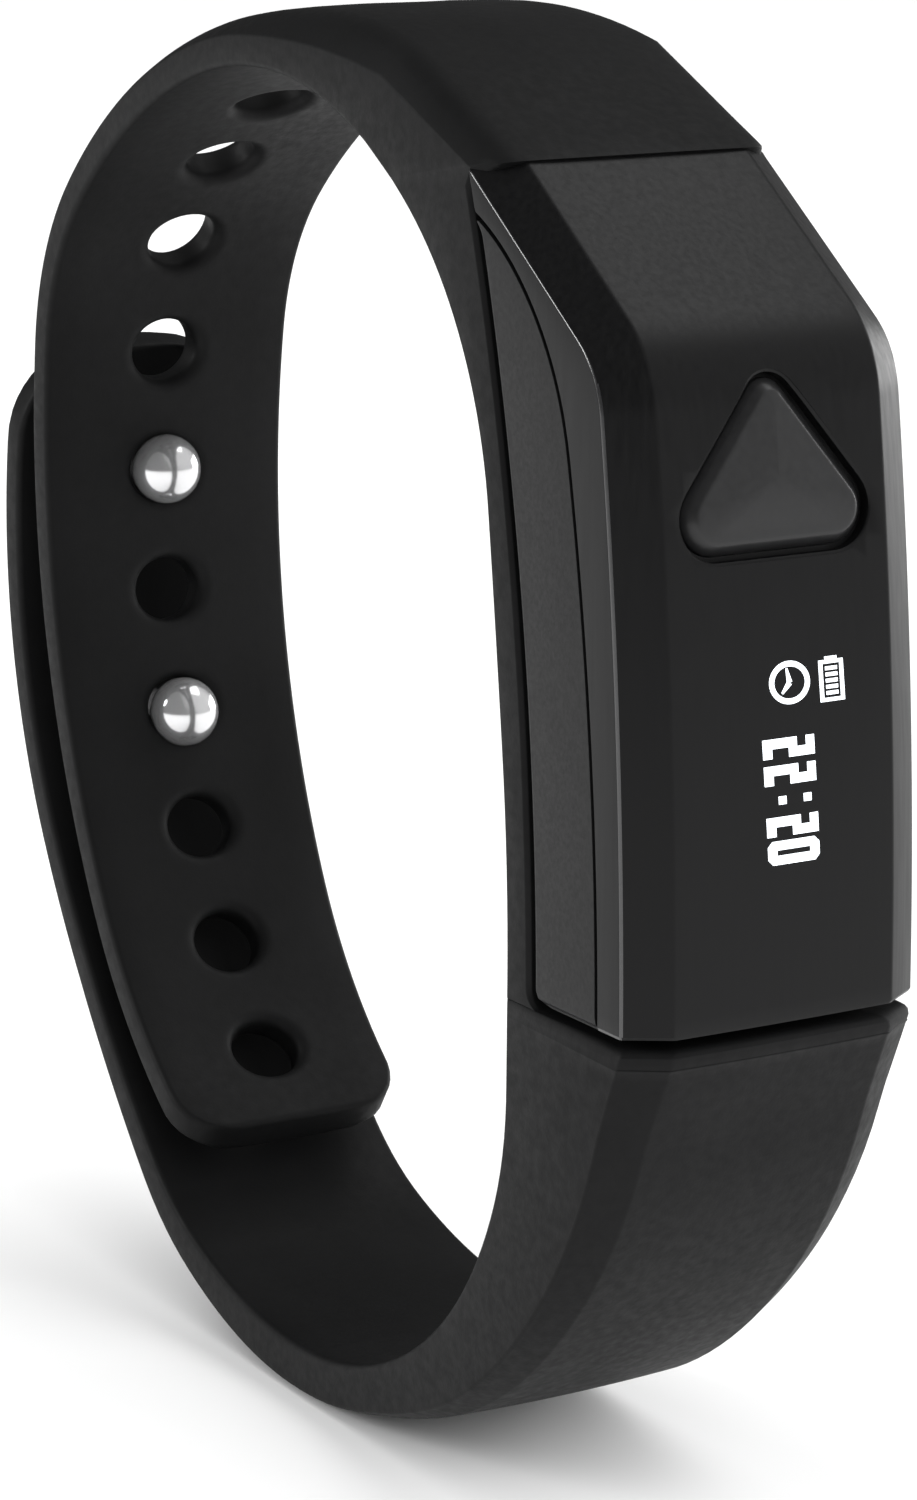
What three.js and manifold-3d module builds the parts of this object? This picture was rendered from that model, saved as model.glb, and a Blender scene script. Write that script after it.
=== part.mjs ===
// Fitness tracker band: a silicone wrist band with a two-stud clasp, holding a removable tracker
// pod that has a triangular button and a display. Units are millimetres and +Z is up.
// X is the outward normal of the pod's face, Y is the wrist's axis and the pod's face looks to +X.
import * as THREE from 'three'
import { mergeVertices } from 'three/addons/utils/BufferGeometryUtils.js'
import Module from 'manifold-3d'

const wasm = await Module()
wasm.setup()

// ---- pod ----------------------------------------------------------------------------------
const POD_WIDTH = 19.2
const FACE_WIDTH = 14.3
const CHAMFER_RISE = 1.55
const WALL = 1.2
const REAR_WALL = 1.1
const SPLIT_GAP = 0.3
const POD_TOP = { rear: 44.5, side: 44.9, face: 45.35 }
const FRONT_EDGE = { start: [0, 0], heading: 90, arcs: [[33.5, 8], [4.5, 46.5], [15, 0]] }
const REAR_EDGE = { start: [-9, 0], heading: 90, arcs: [[46.5, 17.5]] }
const PARTING = { start: [-2.4, 0], heading: 90, arcs: [[31, 11.5], [6.9, 24], [4.4, 14], [6, 22]] }
const CAVITY_BOTTOM = 1.2
const CAVITY_TOP = 39.5

// ---- button, on the face's tangent plane at BUTTON_Z ----------------------------------------
const BUTTON_Z = 30.2
const BUTTON_TILT = 7.2
const BUTTON_BASE = { half: 3.75, up: -2.4, radius: 2.3 }
const BUTTON_APEX = { up: 3.5, radius: 1.6 }
const BUTTON_GAP = 0.3
const BUTTON_RISE = 0.3

// ---- electronics ----------------------------------------------------------------------------
const PIN_Z = 6.2
const PIN_Y = [-3.9, -1.3, 1.3, 3.9]
const SCREW_Y = 6
const SCREW_Z = 31.9

// ---- band ---------------------------------------------------------------------------------
const INNER_START = [-11.9, 2]
const UPPER_ARCS = [[11.5, 6], [13.5, 1], [19, 46], [26.5, 51.5], [20, 29], [11, 37.5],
  [38, 37], [16.8, 30]]
const LOWER_ARCS = [[8, -2.5], [8, -22], [17.5, -37], [11.5, -25], [16.5, -26.5], [6, -19.5],
  [24.5, -20.5], [32.6, -45]]
const CRADLE_GAP = 0.4
const SEAM = 0.3
const CRADLE_TOP_S = 45.5
const LIP_S = 2.9
const STRAP_EDGE = 1.9
const STRAP_CHAMFER = 0.5
const STRAP_T = STRAP_EDGE + STRAP_CHAMFER
const SHOULDER_RISE = 3.8
const SOLE_EXTRA = 1
const SHOULDER_WIDTH = 18.8
const TAIL_WIDTH = 16.1
const SOLE_WIDTH = 17.8
const CLASP_WIDTH = 16.6
const HOLE_R = 2.4
const HOLE_PITCH = 8
const TIP_TO_HOLE = 5.8
const HOLES = 12
const TAIL_HOLES = 7
const STUD_HOLES = [4, 6]
const CLASP_HINGE_S = 83.5

// ---- clasp --------------------------------------------------------------------------------
const HEAD_R = 2
const NECK_R = 0.9
const NECK_HOLE_R = 1.15
const PLATE_T = 0.9
const PLATE_WIDTH = 8
const PLATE_REACH = 3.4

const RAD = Math.PI / 180

// ---- paths: a chain of arcs in the XZ plane, each [length, turn in degrees] -----------------
function chain({ start, heading, arcs }) {
  const length = arcs.reduce((sum, arc) => sum + arc[0], 0)
  function at(s) {
    let [x, z] = start
    let h = heading * RAD
    let left = s
    for (let i = 0; i < arcs.length; i++) {
      const [arcLength, turn] = arcs[i]
      const last = i === arcs.length - 1
      const d = last ? left : Math.min(left, arcLength)
      const k = (turn * RAD) / arcLength
      const h1 = h + k * d
      x += k === 0 ? d * Math.cos(h) : (Math.sin(h1) - Math.sin(h)) / k
      z += k === 0 ? d * Math.sin(h) : (Math.cos(h) - Math.cos(h1)) / k
      h = h1
      left -= d
      if (left <= 1e-9) break
    }
    return { x, z, h }
  }
  return { length, at }
}

// The chain moved sideways by d, to the right of its heading.
function parallel({ start, heading, arcs }, d) {
  const h = heading * RAD
  return chain({
    start: [start[0] + d * Math.sin(h), start[1] - d * Math.cos(h)],
    heading,
    arcs: arcs.map(([length, turn]) => [length + d * turn * RAD, turn]),
  })
}

// x where a rising path reaches height z.
function xAt(path, z) {
  let low = -3
  let high = path.length + 6
  for (let i = 0; i < 50; i++) {
    const mid = (low + high) / 2
    if (path.at(mid).z < z) low = mid
    else high = mid
  }
  return path.at((low + high) / 2).x
}

// ---- solids -------------------------------------------------------------------------------
function toManifold(geometry) {
  const plain = geometry.clone()
  plain.deleteAttribute('normal')
  plain.deleteAttribute('uv')
  const merged = mergeVertices(plain, 1e-5)
  return new wasm.Manifold(new wasm.Mesh({
    numProp: 3,
    vertProperties: Float32Array.from(merged.attributes.position.array),
    triVerts: Uint32Array.from(merged.index.array),
  }))
}

function toGeometry(manifold) {
  const raw = manifold.getMesh()
  const geometry = new THREE.BufferGeometry()
  geometry.setAttribute('position', new THREE.BufferAttribute(raw.vertProperties, 3))
  geometry.setIndex(new THREE.BufferAttribute(raw.triVerts, 1))
  geometry.computeVertexNormals()
  return geometry
}

// Rings of points with equal counts, joined into one closed solid with flat ends.
function loft(rings) {
  const n = rings[0].length
  const position = rings.flat(2)
  const index = []
  for (let i = 0; i + 1 < rings.length; i++) {
    for (let j = 0; j < n; j++) {
      const a = i * n + j
      const b = i * n + ((j + 1) % n)
      index.push(a, b, b + n, a, b + n, a + n)
    }
  }
  const end = (rings.length - 1) * n
  for (let j = 1; j + 1 < n; j++) {
    index.push(0, j + 1, j)
    index.push(end, end + j, end + j + 1)
  }
  const geometry = new THREE.BufferGeometry()
  geometry.setAttribute('position', new THREE.Float32BufferAttribute(position, 3))
  geometry.setIndex(index)
  if (signedVolume(position, index) < 0) {
    for (let i = 0; i < index.length; i += 3) {
      const swap = index[i]
      index[i] = index[i + 1]
      index[i + 1] = swap
    }
    geometry.setIndex(index)
  }
  return toManifold(geometry)
}

function signedVolume(position, index) {
  const a = new THREE.Vector3()
  const b = new THREE.Vector3()
  const c = new THREE.Vector3()
  let sum = 0
  for (let i = 0; i < index.length; i += 3) {
    a.fromArray(position, 3 * index[i])
    b.fromArray(position, 3 * index[i + 1])
    c.fromArray(position, 3 * index[i + 2])
    sum += a.dot(b.cross(c))
  }
  return sum
}

function box(x0, x1, y0, y1, z0, z1) {
  const geometry = new THREE.BoxGeometry(x1 - x0, y1 - y0, z1 - z0)
  geometry.translate((x0 + x1) / 2, (y0 + y1) / 2, (z0 + z1) / 2)
  return toManifold(geometry)
}

// A cylinder between two points.
function rod(from, to, radius, sides = 16) {
  const a = new THREE.Vector3(...from)
  const b = new THREE.Vector3(...to)
  const direction = b.clone().sub(a)
  const geometry = new THREE.CylinderGeometry(radius, radius, direction.length(), sides)
  const up = new THREE.Vector3(0, 1, 0)
  const turn = new THREE.Quaternion().setFromUnitVectors(up, direction.normalize())
  geometry.applyQuaternion(turn)
  const middle = a.add(b).multiplyScalar(0.5)
  geometry.translate(middle.x, middle.y, middle.z)
  return toManifold(geometry)
}

// An outline of [x, z] points, extruded from y0 to y1.
function plate(outline, y0, y1) {
  const shape = new THREE.Shape(outline.map(([x, z]) => new THREE.Vector2(x, z)))
  const geometry = new THREE.ExtrudeGeometry(shape, { depth: y1 - y0, bevelEnabled: false })
  geometry.rotateX(Math.PI / 2)
  geometry.translate(0, y1, 0)
  return toManifold(geometry)
}

// ---- band sections ------------------------------------------------------------------------
const upper = chain({ start: INNER_START, heading: 90, arcs: UPPER_ARCS })
const lower = chain({ start: INNER_START, heading: 270, arcs: LOWER_ARCS })
const rearEdge = chain(REAR_EDGE)
const cradleOuter = parallel(REAR_EDGE, -CRADLE_GAP)
const podTip = [xAt(chain(FRONT_EDGE), POD_TOP.side), POD_TOP.side]
const podFaceTip = [xAt(parallel(FRONT_EDGE, CHAMFER_RISE), POD_TOP.face), POD_TOP.face]

// The point at distance d outwards of a path, on the side away from the wrist.
function offset(path, s, d) {
  const { x, z, h } = path.at(s)
  const side = path === lower ? -1 : 1
  return [x + side * d * Math.sin(h), z - side * d * Math.cos(h)]
}

// A six-cornered section: inner corners, edge corners and the narrower outer face.
function section(inner, edge, face, width, faceWidth) {
  return [
    [inner[0], -width / 2, inner[1]],
    [edge[0], -width / 2, edge[1]],
    [face[0], -faceWidth / 2, face[1]],
    [face[0], faceWidth / 2, face[1]],
    [edge[0], width / 2, edge[1]],
    [inner[0], width / 2, inner[1]],
  ]
}

const ease = (x) => Math.min(1, Math.max(0, x))
const smooth = (x) => ease(x) * ease(x) * (3 - 2 * ease(x))
const mix = (a, b, t) => a + (b - a) * t

// Strap sizes along each path: edge thickness, chamfer rise, full width and face width.
function upperSize(s) {
  const u = ease((s - CRADLE_TOP_S) / 27)
  const v = ease((s - CRADLE_TOP_S) / 30)
  const w = ease((s - CRADLE_TOP_S) / 19)
  const width = mix(mix(POD_WIDTH, SHOULDER_WIDTH, smooth((s - CRADLE_TOP_S) / 18)), TAIL_WIDTH,
    ease((s - CRADLE_TOP_S - 18) / (upper.length - CRADLE_TOP_S - 18)))
  const edge = STRAP_EDGE + SHOULDER_RISE * (1 - w) ** 2
  const thickness = STRAP_EDGE + SHOULDER_RISE * (1 - u) ** 2 + mix(CHAMFER_RISE, STRAP_CHAMFER, v)
  return { edge, rise: thickness - edge, width, face: width - 2 * mix(2.45, 0.8, v) }
}

function lowerSize(s) {
  const u = ease((s - LIP_S) / 36)
  const width = mix(mix(POD_WIDTH, SOLE_WIDTH, smooth((s - LIP_S) / 34)), CLASP_WIDTH,
    ease((s - LIP_S - 34) / 45))
  const sole = smooth((s - 12) / 20) * (1 - smooth((s - 48) / 30))
  return {
    edge: STRAP_EDGE + (11.9 - STRAP_EDGE) * (1 - u) ** 1.6 + SOLE_EXTRA * sole,
    rise: mix(CHAMFER_RISE, STRAP_CHAMFER, u),
    width,
    face: width - 2 * mix(2.45, 1.4, u),
  }
}

function strapRing(path, size, s, narrow = 0) {
  const { edge, rise, width, face } = size(s)
  return section(offset(path, s, 0), offset(path, s, edge), offset(path, s, edge + rise),
    width - narrow, face - narrow)
}

// Stations every few degrees of turn between two lengths along a path.
function stations(from, to, step = 3.2) {
  const count = Math.max(2, Math.ceil((to - from) / step))
  return Array.from({ length: count + 1 }, (_, i) => mix(from, to, i / count))
}

// The round root of a moving strap end: a full round about the hinge line, then the strap.
function hingedRings(path, size, s) {
  const { x, z, h } = path.at(s)
  const side = path === lower ? -1 : 1
  const axis = offset(path, s, STRAP_T / 2)
  const { width, face } = size(s)
  const out = [side * Math.sin(h), -side * Math.cos(h)]
  const back = [-Math.cos(h), -Math.sin(h)]
  const rings = []
  for (const angle of [90, 72, 54, 36, 18]) {
    const reach = (STRAP_T / 2) * Math.sin(angle * RAD)
    const half = Math.max(0.12, (STRAP_T / 2) * Math.cos(angle * RAD))
    const at = (d) => [axis[0] + back[0] * reach + out[0] * d, axis[1] + back[1] * reach + out[1] * d]
    const faceNow = mix(width - 0.6, face, half / (STRAP_T / 2))
    rings.push(section(at(-half), at(half * 0.5), at(half), width, faceNow))
  }
  return rings
}

// ---- holes --------------------------------------------------------------------------------
const holeS = (k) => upper.length - TIP_TO_HOLE - HOLE_PITCH * (k - 1)
const TAIL_HINGE_S = holeS(TAIL_HOLES) - HOLE_PITCH / 2
const tailHinge = offset(upper, TAIL_HINGE_S, STRAP_T / 2)
const claspHinge = offset(lower, CLASP_HINGE_S, STRAP_T / 2)

function strapHole(k) {
  const a = offset(upper, holeS(k), -3)
  const b = offset(upper, holeS(k), 6)
  return rod([a[0], 0, a[1]], [b[0], 0, b[1]], HOLE_R, 20)
}

// ---- band nodes ---------------------------------------------------------------------------
function cradleStrip() {
  const rings = []
  const count = 14
  for (let i = 0; i <= count; i++) {
    const t = i / count
    const inner = upper.at(mix(-2.6, CRADLE_TOP_S - SEAM, t))
    const outer = cradleOuter.at(mix(-0.6, 45.1, t))
    rings.push([
      [inner.x, -POD_WIDTH / 2, inner.z],
      [outer.x, -POD_WIDTH / 2, outer.z],
      [outer.x, POD_WIDTH / 2, outer.z],
      [inner.x, POD_WIDTH / 2, inner.z],
    ])
  }
  return loft(rings).subtract(box(-16, -6, -6.4, 6.4, 2.2, 10.2))
}

function upperStrap() {
  const first = offset(upper, CRADLE_TOP_S, 0)
  const tip = [podTip[0] - 0.25, podTip[1] + 0.35]
  const faceTip = [podFaceTip[0] - 0.1, podFaceTip[1] + 0.35]
  const rings = [section(first, tip, faceTip, POD_WIDTH, FACE_WIDTH)]
  const end = TAIL_HINGE_S - STRAP_T / 2 - SEAM
  const from = CRADLE_TOP_S + 3.5
  for (const s of stations(from, end)) rings.push(strapRing(upper, upperSize, s))
  let solid = loft(rings)
  for (let k = TAIL_HOLES + 1; k <= HOLES; k++) solid = solid.subtract(strapHole(k))
  return solid
}

function strapTail() {
  const rings = hingedRings(upper, upperSize, TAIL_HINGE_S)
  const end = upper.length
  for (const s of stations(TAIL_HINGE_S, end - 2.6)) rings.push(strapRing(upper, upperSize, s))
  for (const [back, narrow] of [[1.5, 0.9], [0.6, 2.6], [0, 6]]) {
    rings.push(strapRing(upper, upperSize, end - back, narrow))
  }
  let solid = loft(rings)
  for (let k = 1; k <= TAIL_HOLES; k++) solid = solid.subtract(strapHole(k))
  return solid
}

function lowerStrap() {
  const end = CLASP_HINGE_S - STRAP_T / 2 - SEAM
  const rings = stations(LIP_S, end).map((s) => strapRing(lower, lowerSize, s))
  return loft(rings)
}

// ---- clasp: studs stand square to the line between the two hinges ---------------------------
const hingeLine = [tailHinge[0] - claspHinge[0], tailHinge[1] - claspHinge[1]]
const hingeSpan = Math.hypot(...hingeLine)
const studIn = [hingeLine[1] / hingeSpan, -hingeLine[0] / hingeSpan]

// Where the line through a strap hole, along the stud, meets the clasp end's inner surface.
function studBase(k) {
  const hole = offset(upper, holeS(k), STRAP_T / 2)
  let best = { gap: Infinity }
  for (let s = CLASP_HINGE_S; s <= lower.length; s += 0.05) {
    const p = lower.at(s)
    const along = (p.x - hole[0]) * studIn[1] - (p.z - hole[1]) * studIn[0]
    if (Math.abs(along) < best.gap) best = { gap: Math.abs(along), s, x: p.x, z: p.z }
  }
  const reach = (hole[0] - best.x) * studIn[0] + (hole[1] - best.z) * studIn[1]
  return { s: best.s, x: best.x, z: best.z, reach }
}

// A point on stud k's axis, t in from the clasp end's inner surface.
function onStud(k, t) {
  const base = studBase(k)
  return [base.x + studIn[0] * t, 0, base.z + studIn[1] * t]
}

function claspPlateRings(extra, from, to) {
  const first = studBase(STUD_HOLES[0]).s - PLATE_REACH - extra
  const last = studBase(STUD_HOLES[1]).s + PLATE_REACH + extra
  const half = PLATE_WIDTH / 2 + extra
  return stations(first, last, 3).map((s) => {
    const a = offset(lower, s, from)
    const b = offset(lower, s, to)
    return [[a[0], -half, a[1]], [b[0], -half, b[1]], [b[0], half, b[1]], [a[0], half, a[1]]]
  })
}

function claspStrapEnd() {
  const rings = hingedRings(lower, lowerSize, CLASP_HINGE_S)
  const end = lower.length
  for (const s of stations(CLASP_HINGE_S, end - 2)) rings.push(strapRing(lower, lowerSize, s))
  for (const [back, narrow] of [[1.8, 1], [0.8, 3.2], [0, 6.6]]) {
    rings.push(strapRing(lower, lowerSize, end - back, narrow))
  }
  let solid = loft(rings)
  solid = solid.subtract(loft(claspPlateRings(0.25, STRAP_T - PLATE_T - 0.25, STRAP_T + 2)))
  for (const k of STUD_HOLES) {
    solid = solid.subtract(rod(onStud(k, 3), onStud(k, -5), NECK_HOLE_R, 14))
  }
  return solid
}

function claspPlate() {
  let solid = loft(claspPlateRings(0, STRAP_T - PLATE_T, STRAP_T))
  for (const k of STUD_HOLES) solid = solid.subtract(rod(onStud(k, 3), onStud(k, -5), 1.05, 14))
  return solid
}

function stud(k) {
  const reach = studBase(k).reach
  const centre = reach + STRAP_T / 2 - 0.35
  const profile = [[0, -STRAP_T + 0.05], [NECK_R, -STRAP_T + 0.05], [NECK_R, centre - 1.6]]
  for (const angle of [-50, -32, -14, 4, 22, 40, 58, 74]) {
    profile.push([HEAD_R * Math.cos(angle * RAD), centre + HEAD_R * Math.sin(angle * RAD)])
  }
  profile.push([0, centre + HEAD_R])
  const points = profile.map(([r, t]) => new THREE.Vector2(r, t))
  const geometry = new THREE.LatheGeometry(points, 20)
  const axis = new THREE.Vector3(studIn[0], 0, studIn[1])
  geometry.applyQuaternion(new THREE.Quaternion().setFromUnitVectors(new THREE.Vector3(0, 1, 0), axis))
  const base = studBase(k)
  geometry.translate(base.x, 0, base.z)
  return toManifold(geometry)
}

// ---- pod shells ---------------------------------------------------------------------------
function podHeights(bottom, top) {
  const bend = [33.4, 34.2, 35, 35.8, 36.6, 37.3]
  return [bottom, bottom + 1.1, 8.5, 17, 25.5, ...bend, top]
}

// The pod's body, shrunk by a wall on each side where wall is 1 and full size where it is 0.
function podBody(wall) {
  const front = parallel(FRONT_EDGE, -0.6 * wall)
  const face = parallel(FRONT_EDGE, CHAMFER_RISE - WALL * wall)
  const bottom = CAVITY_BOTTOM * wall
  const width = POD_WIDTH - 2 * WALL * wall
  const faceWidth = FACE_WIDTH - 2 * WALL * wall
  const heights = podHeights(bottom, wall ? CAVITY_TOP : POD_TOP.side)
  const rings = heights.map((z, i) => {
    const last = !wall && i === heights.length - 1
    const zs = last ? [POD_TOP.rear, POD_TOP.side, POD_TOP.face] : [z, z, z]
    const cut = i === 0 ? 1.1 : 0
    const rear = [xAt(rearEdge, zs[0]) + REAR_WALL * wall + cut, zs[0]]
    return section(rear, [xAt(front, zs[1]), zs[1]], [xAt(face, zs[2]), zs[2]], width, faceWidth)
  })
  return loft(rings)
}

// The outline on one side of the parting line: front is +1, rear is -1.
function partingSide(side) {
  const line = parallel(PARTING, (side * SPLIT_GAP) / 2)
  const outline = []
  for (const s of [-3, 0, 8, 16, 24, 31, 33.2, 35.4, 37.6, 39.8, 42, 52]) {
    const p = line.at(s)
    outline.push([p.x, p.z])
  }
  const far = side > 0 ? 12 : -30
  outline.push([outline[outline.length - 1][0], 62], [far, 62], [far, -6], [outline[0][0], -6])
  return outline
}

const cavity = podBody(1)
const buttonFrame = buttonBasis()

function topCover() {
  return podBody(0)
    .intersect(plate(partingSide(1), -12, 12))
    .subtract(cavity)
    .subtract(buttonPrism(0, -4, 4))
}

function bottomCase() {
  const boss = box(-10.5, -8.4, -6, 6, 2.6, 9.8)
  const posts = [-SCREW_Y, SCREW_Y].map((y) => rod([-11.6, y, SCREW_Z], [-4.2, y, SCREW_Z], 1))
  let solid = podBody(0).intersect(plate(partingSide(-1), -12, 12)).subtract(cavity)
  for (const piece of [boss, ...posts]) solid = solid.add(piece)
  for (const y of [-SCREW_Y, SCREW_Y]) {
    solid = solid.subtract(rod([-9, y, SCREW_Z], [-3, y, SCREW_Z], 0.65, 10))
  }
  for (const y of PIN_Y) solid = solid.subtract(rod([-12, y, PIN_Z], [-7, y, PIN_Z], 0.85, 12))
  return solid
}

// A loop that follows the parting line inside the shells.
function caseSeal() {
  const band = (from, to, half) => {
    const front = parallel(PARTING, half)
    const rear = parallel(PARTING, -half)
    const list = stations(from, to, 3)
    const out = list.map((s) => [front.at(s).x, front.at(s).z])
    const back = list.map((s) => [rear.at(s).x, rear.at(s).z]).reverse()
    return [...out, ...back]
  }
  return plate(band(1.7, 40.2, 0.4), -8.1, 8.1).subtract(plate(band(2.3, 39.6, 0.7), -7.4, 7.4))
}

// ---- button -------------------------------------------------------------------------------
function buttonBasis() {
  const face = parallel(FRONT_EDGE, CHAMFER_RISE)
  const tilt = BUTTON_TILT * RAD
  return {
    origin: [xAt(face, BUTTON_Z), BUTTON_Z],
    out: [Math.cos(tilt), Math.sin(tilt)],
    up: [-Math.sin(tilt), Math.cos(tilt)],
  }
}

// A triangle with round corners, shrunk by inset: points [y, up] around it.
function buttonOutline(inset) {
  const { half, up, radius } = BUTTON_BASE
  const corners = [
    { y: half, u: up, r: radius, from: -90 },
    { y: 0, u: BUTTON_APEX.up, r: BUTTON_APEX.radius, from: 0 },
    { y: -half, u: up, r: radius, from: 0 },
  ]
  const dy = half
  const du = BUTTON_APEX.up - up
  const lean = Math.atan2(du, dy) / RAD
  const spread = Math.acos((radius - BUTTON_APEX.radius) / Math.hypot(dy, du)) / RAD
  const side = 180 - lean - spread
  corners[0].to = side
  corners[1].from = side
  corners[1].to = 180 - side
  corners[2].from = 180 - side
  corners[2].to = 270
  const points = []
  for (const { y, u, r, from, to } of corners) {
    const steps = 5
    for (let i = 0; i <= steps; i++) {
      const angle = mix(from, to, i / steps) * RAD
      points.push([y + (r - inset) * Math.cos(angle), u + (r - inset) * Math.sin(angle)])
    }
  }
  return points
}

function buttonRing(inset, height) {
  const { origin, out, up } = buttonFrame
  return buttonOutline(inset).map(([y, u]) => [
    origin[0] + up[0] * u + out[0] * height,
    y,
    origin[1] + up[1] * u + out[1] * height,
  ])
}

function buttonPrism(inset, from, to) {
  return loft([buttonRing(inset, from), buttonRing(inset, to)])
}

function onButton(u, height) {
  const { origin, out, up } = buttonFrame
  return [origin[0] + up[0] * u + out[0] * height, 0, origin[1] + up[1] * u + out[1] * height]
}

function buttonCap() {
  const cap = loft([
    buttonRing(BUTTON_GAP, -1.7),
    buttonRing(BUTTON_GAP, -0.5),
    buttonRing(BUTTON_GAP + 0.6, BUTTON_RISE - 0.06),
    buttonRing(BUTTON_GAP + 0.9, BUTTON_RISE),
  ])
  const flange = buttonPrism(-0.35, -1.9, -1.6).subtract(box(-8, 4, -9, 9, BUTTON_Z + 4.8, 40))
  const nub = rod(onButton(0, -1.8), onButton(0, -1.98), 0.8, 12)
  return cap.add(flange).add(nub)
}

function buttonSeal() {
  const frame = loft([buttonRing(-1.1, -2.25), buttonRing(-1.1, -1.85)])
  const cut = box(-8, 4, -9, 9, BUTTON_Z + 4, 40)
  return frame.subtract(buttonPrism(-0.6, -4, 2)).subtract(cut)
}

// ---- electronics --------------------------------------------------------------------------

function mainBoard() {
  let board = box(-3.9, -3.1, -7.1, 7.1, 2, 33)
  for (const y of [-SCREW_Y, SCREW_Y]) {
    board = board.subtract(rod([-5, y, SCREW_Z], [-2, y, SCREW_Z], 0.75, 12))
  }
  return board
}

function boardScrew(y) {
  const head = rod([-3, y, SCREW_Z], [-2.55, y, SCREW_Z], 1, 16)
  const shank = rod([-7.6, y, SCREW_Z], [-2.8, y, SCREW_Z], 0.5, 10)
  return head.add(shank).subtract(box(-2.75, -2.3, y - 0.7, y + 0.7, SCREW_Z - 0.15, SCREW_Z + 0.15))
}

function displayFrame() {
  return box(-2.2, -1.1, -6.6, 6.6, 5.4, 22.4).subtract(box(-3, 0, -5.85, 5.85, 6.2, 21.8))
}

const parts = [
  ['upper_strap', upperStrap(), 0x17181a, 0.72, 0],
  ['cradle_strip', cradleStrip(), 0x1a1b1d, 0.72, 0],
  ['lower_strap', lowerStrap(), 0x16171a, 0.72, 0],
  ['strap_tail', strapTail(), 0x18191b, 0.72, 0],
  ['clasp_strap_end', claspStrapEnd(), 0x151618, 0.72, 0],
  ['clasp_plate', claspPlate(), 0x2a2b2d, 0.4, 0.8],
  ['stud_upper', stud(STUD_HOLES[1]), 0xc9ccd0, 0.15, 1],
  ['stud_lower', stud(STUD_HOLES[0]), 0xc9ccd1, 0.15, 1],
  ['top_cover', topCover(), 0x1d1e20, 0.35, 0],
  ['bottom_case', bottomCase(), 0x242527, 0.5, 0],
  ['case_seal', caseSeal(), 0x0b0b0c, 0.8, 0],
  ['button_cap', buttonCap(), 0x1f2022, 0.35, 0],
  ['button_seal', buttonSeal(), 0x0e0e0f, 0.8, 0],
  ['button_switch', box(-3.05, -2.8, -1.5, 1.5, 28.7, 31.7), 0xb9bcc0, 0.3, 1],
  ['display_panel', box(-2.2, -1.2, -5.6, 5.6, 6.45, 21.55), 0x0a0d12, 0.1, 0],
  ['display_frame', displayFrame(), 0x101011, 0.9, 0],
  ['display_flex', box(-2.55, -2.4, -3, 3, 2.9, 6.1), 0x9c6a2c, 0.5, 0],
  ['display_connector', box(-3.05, -2.7, -3.2, 3.2, 2.9, 4.2), 0xd8d3c4, 0.6, 0],
  ['main_board', mainBoard(), 0x14532e, 0.5, 0],
  ['bluetooth_chip', box(-3.05, -2.4, -6.6, -2.6, 23.2, 27.2), 0x1b1c1e, 0.5, 0],
  ['motion_sensor', box(-3.05, -2.3, 2.6, 5.6, 23.4, 26.4), 0x232427, 0.5, 0],
  ['power_chip', box(-3.05, -2.5, -1.2, 1.2, 23.3, 25.7), 0x202124, 0.5, 0],
  ['chip_antenna', box(-3.05, -2.5, 4.2, 6.6, 2.6, 4), 0xe6e4dc, 0.5, 0],
  ['battery', box(-7.5, -4.4, -5.4, 5.4, 8.8, 28.6), 0xaeb1b5, 0.35, 0.6],
  ['battery_tape', box(-4.3, -4.05, -4.6, 4.6, 11, 26), 0xd9c25a, 0.7, 0],
  ['vibration_motor', rod([-8.1, 0, 33.1], [-5.5, 0, 33.1], 4, 28), 0xbfc2c6, 0.25, 1],
  ['board_screw_left', boardScrew(-SCREW_Y), 0xb4b7bb, 0.25, 1],
  ['board_screw_right', boardScrew(SCREW_Y), 0xb4b7ba, 0.25, 1],
]
PIN_Y.forEach((y, i) => {
  parts.push([`charging_pin_${i + 1}`, rod([-10.4, y, PIN_Z], [-4.05, y, PIN_Z], 0.65, 12),
    0xd4af37, 0.2, 1])
})

const object = new THREE.Group()
for (const [name, solid, color, roughness, metalness] of parts) {
  const material = new THREE.MeshStandardMaterial({ color, roughness, metalness })
  const mesh = new THREE.Mesh(toGeometry(solid), material)
  mesh.name = name
  object.add(mesh)
}

// Stand the object on Z = 0 with its box centred on the Z axis.
const bounds = new THREE.Box3().setFromObject(object)
const middle = bounds.getCenter(new THREE.Vector3())
const shift = new THREE.Vector3(-middle.x, -middle.y, -bounds.min.z)
for (const mesh of object.children) mesh.position.copy(shift)

export default object
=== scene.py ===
"""Visual model of a fitness tracker band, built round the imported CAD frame.

Lengths in this script are millimetres in the design frame, the frame that the part's paths are
drawn in, and place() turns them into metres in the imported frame. Sizes of lights, bumps and the
camera are in metres. Angles are in degrees until they are used.
"""
from math import acos, atan2, cos, degrees, dist, hypot, pi, radians, sin, sqrt, tan

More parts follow.
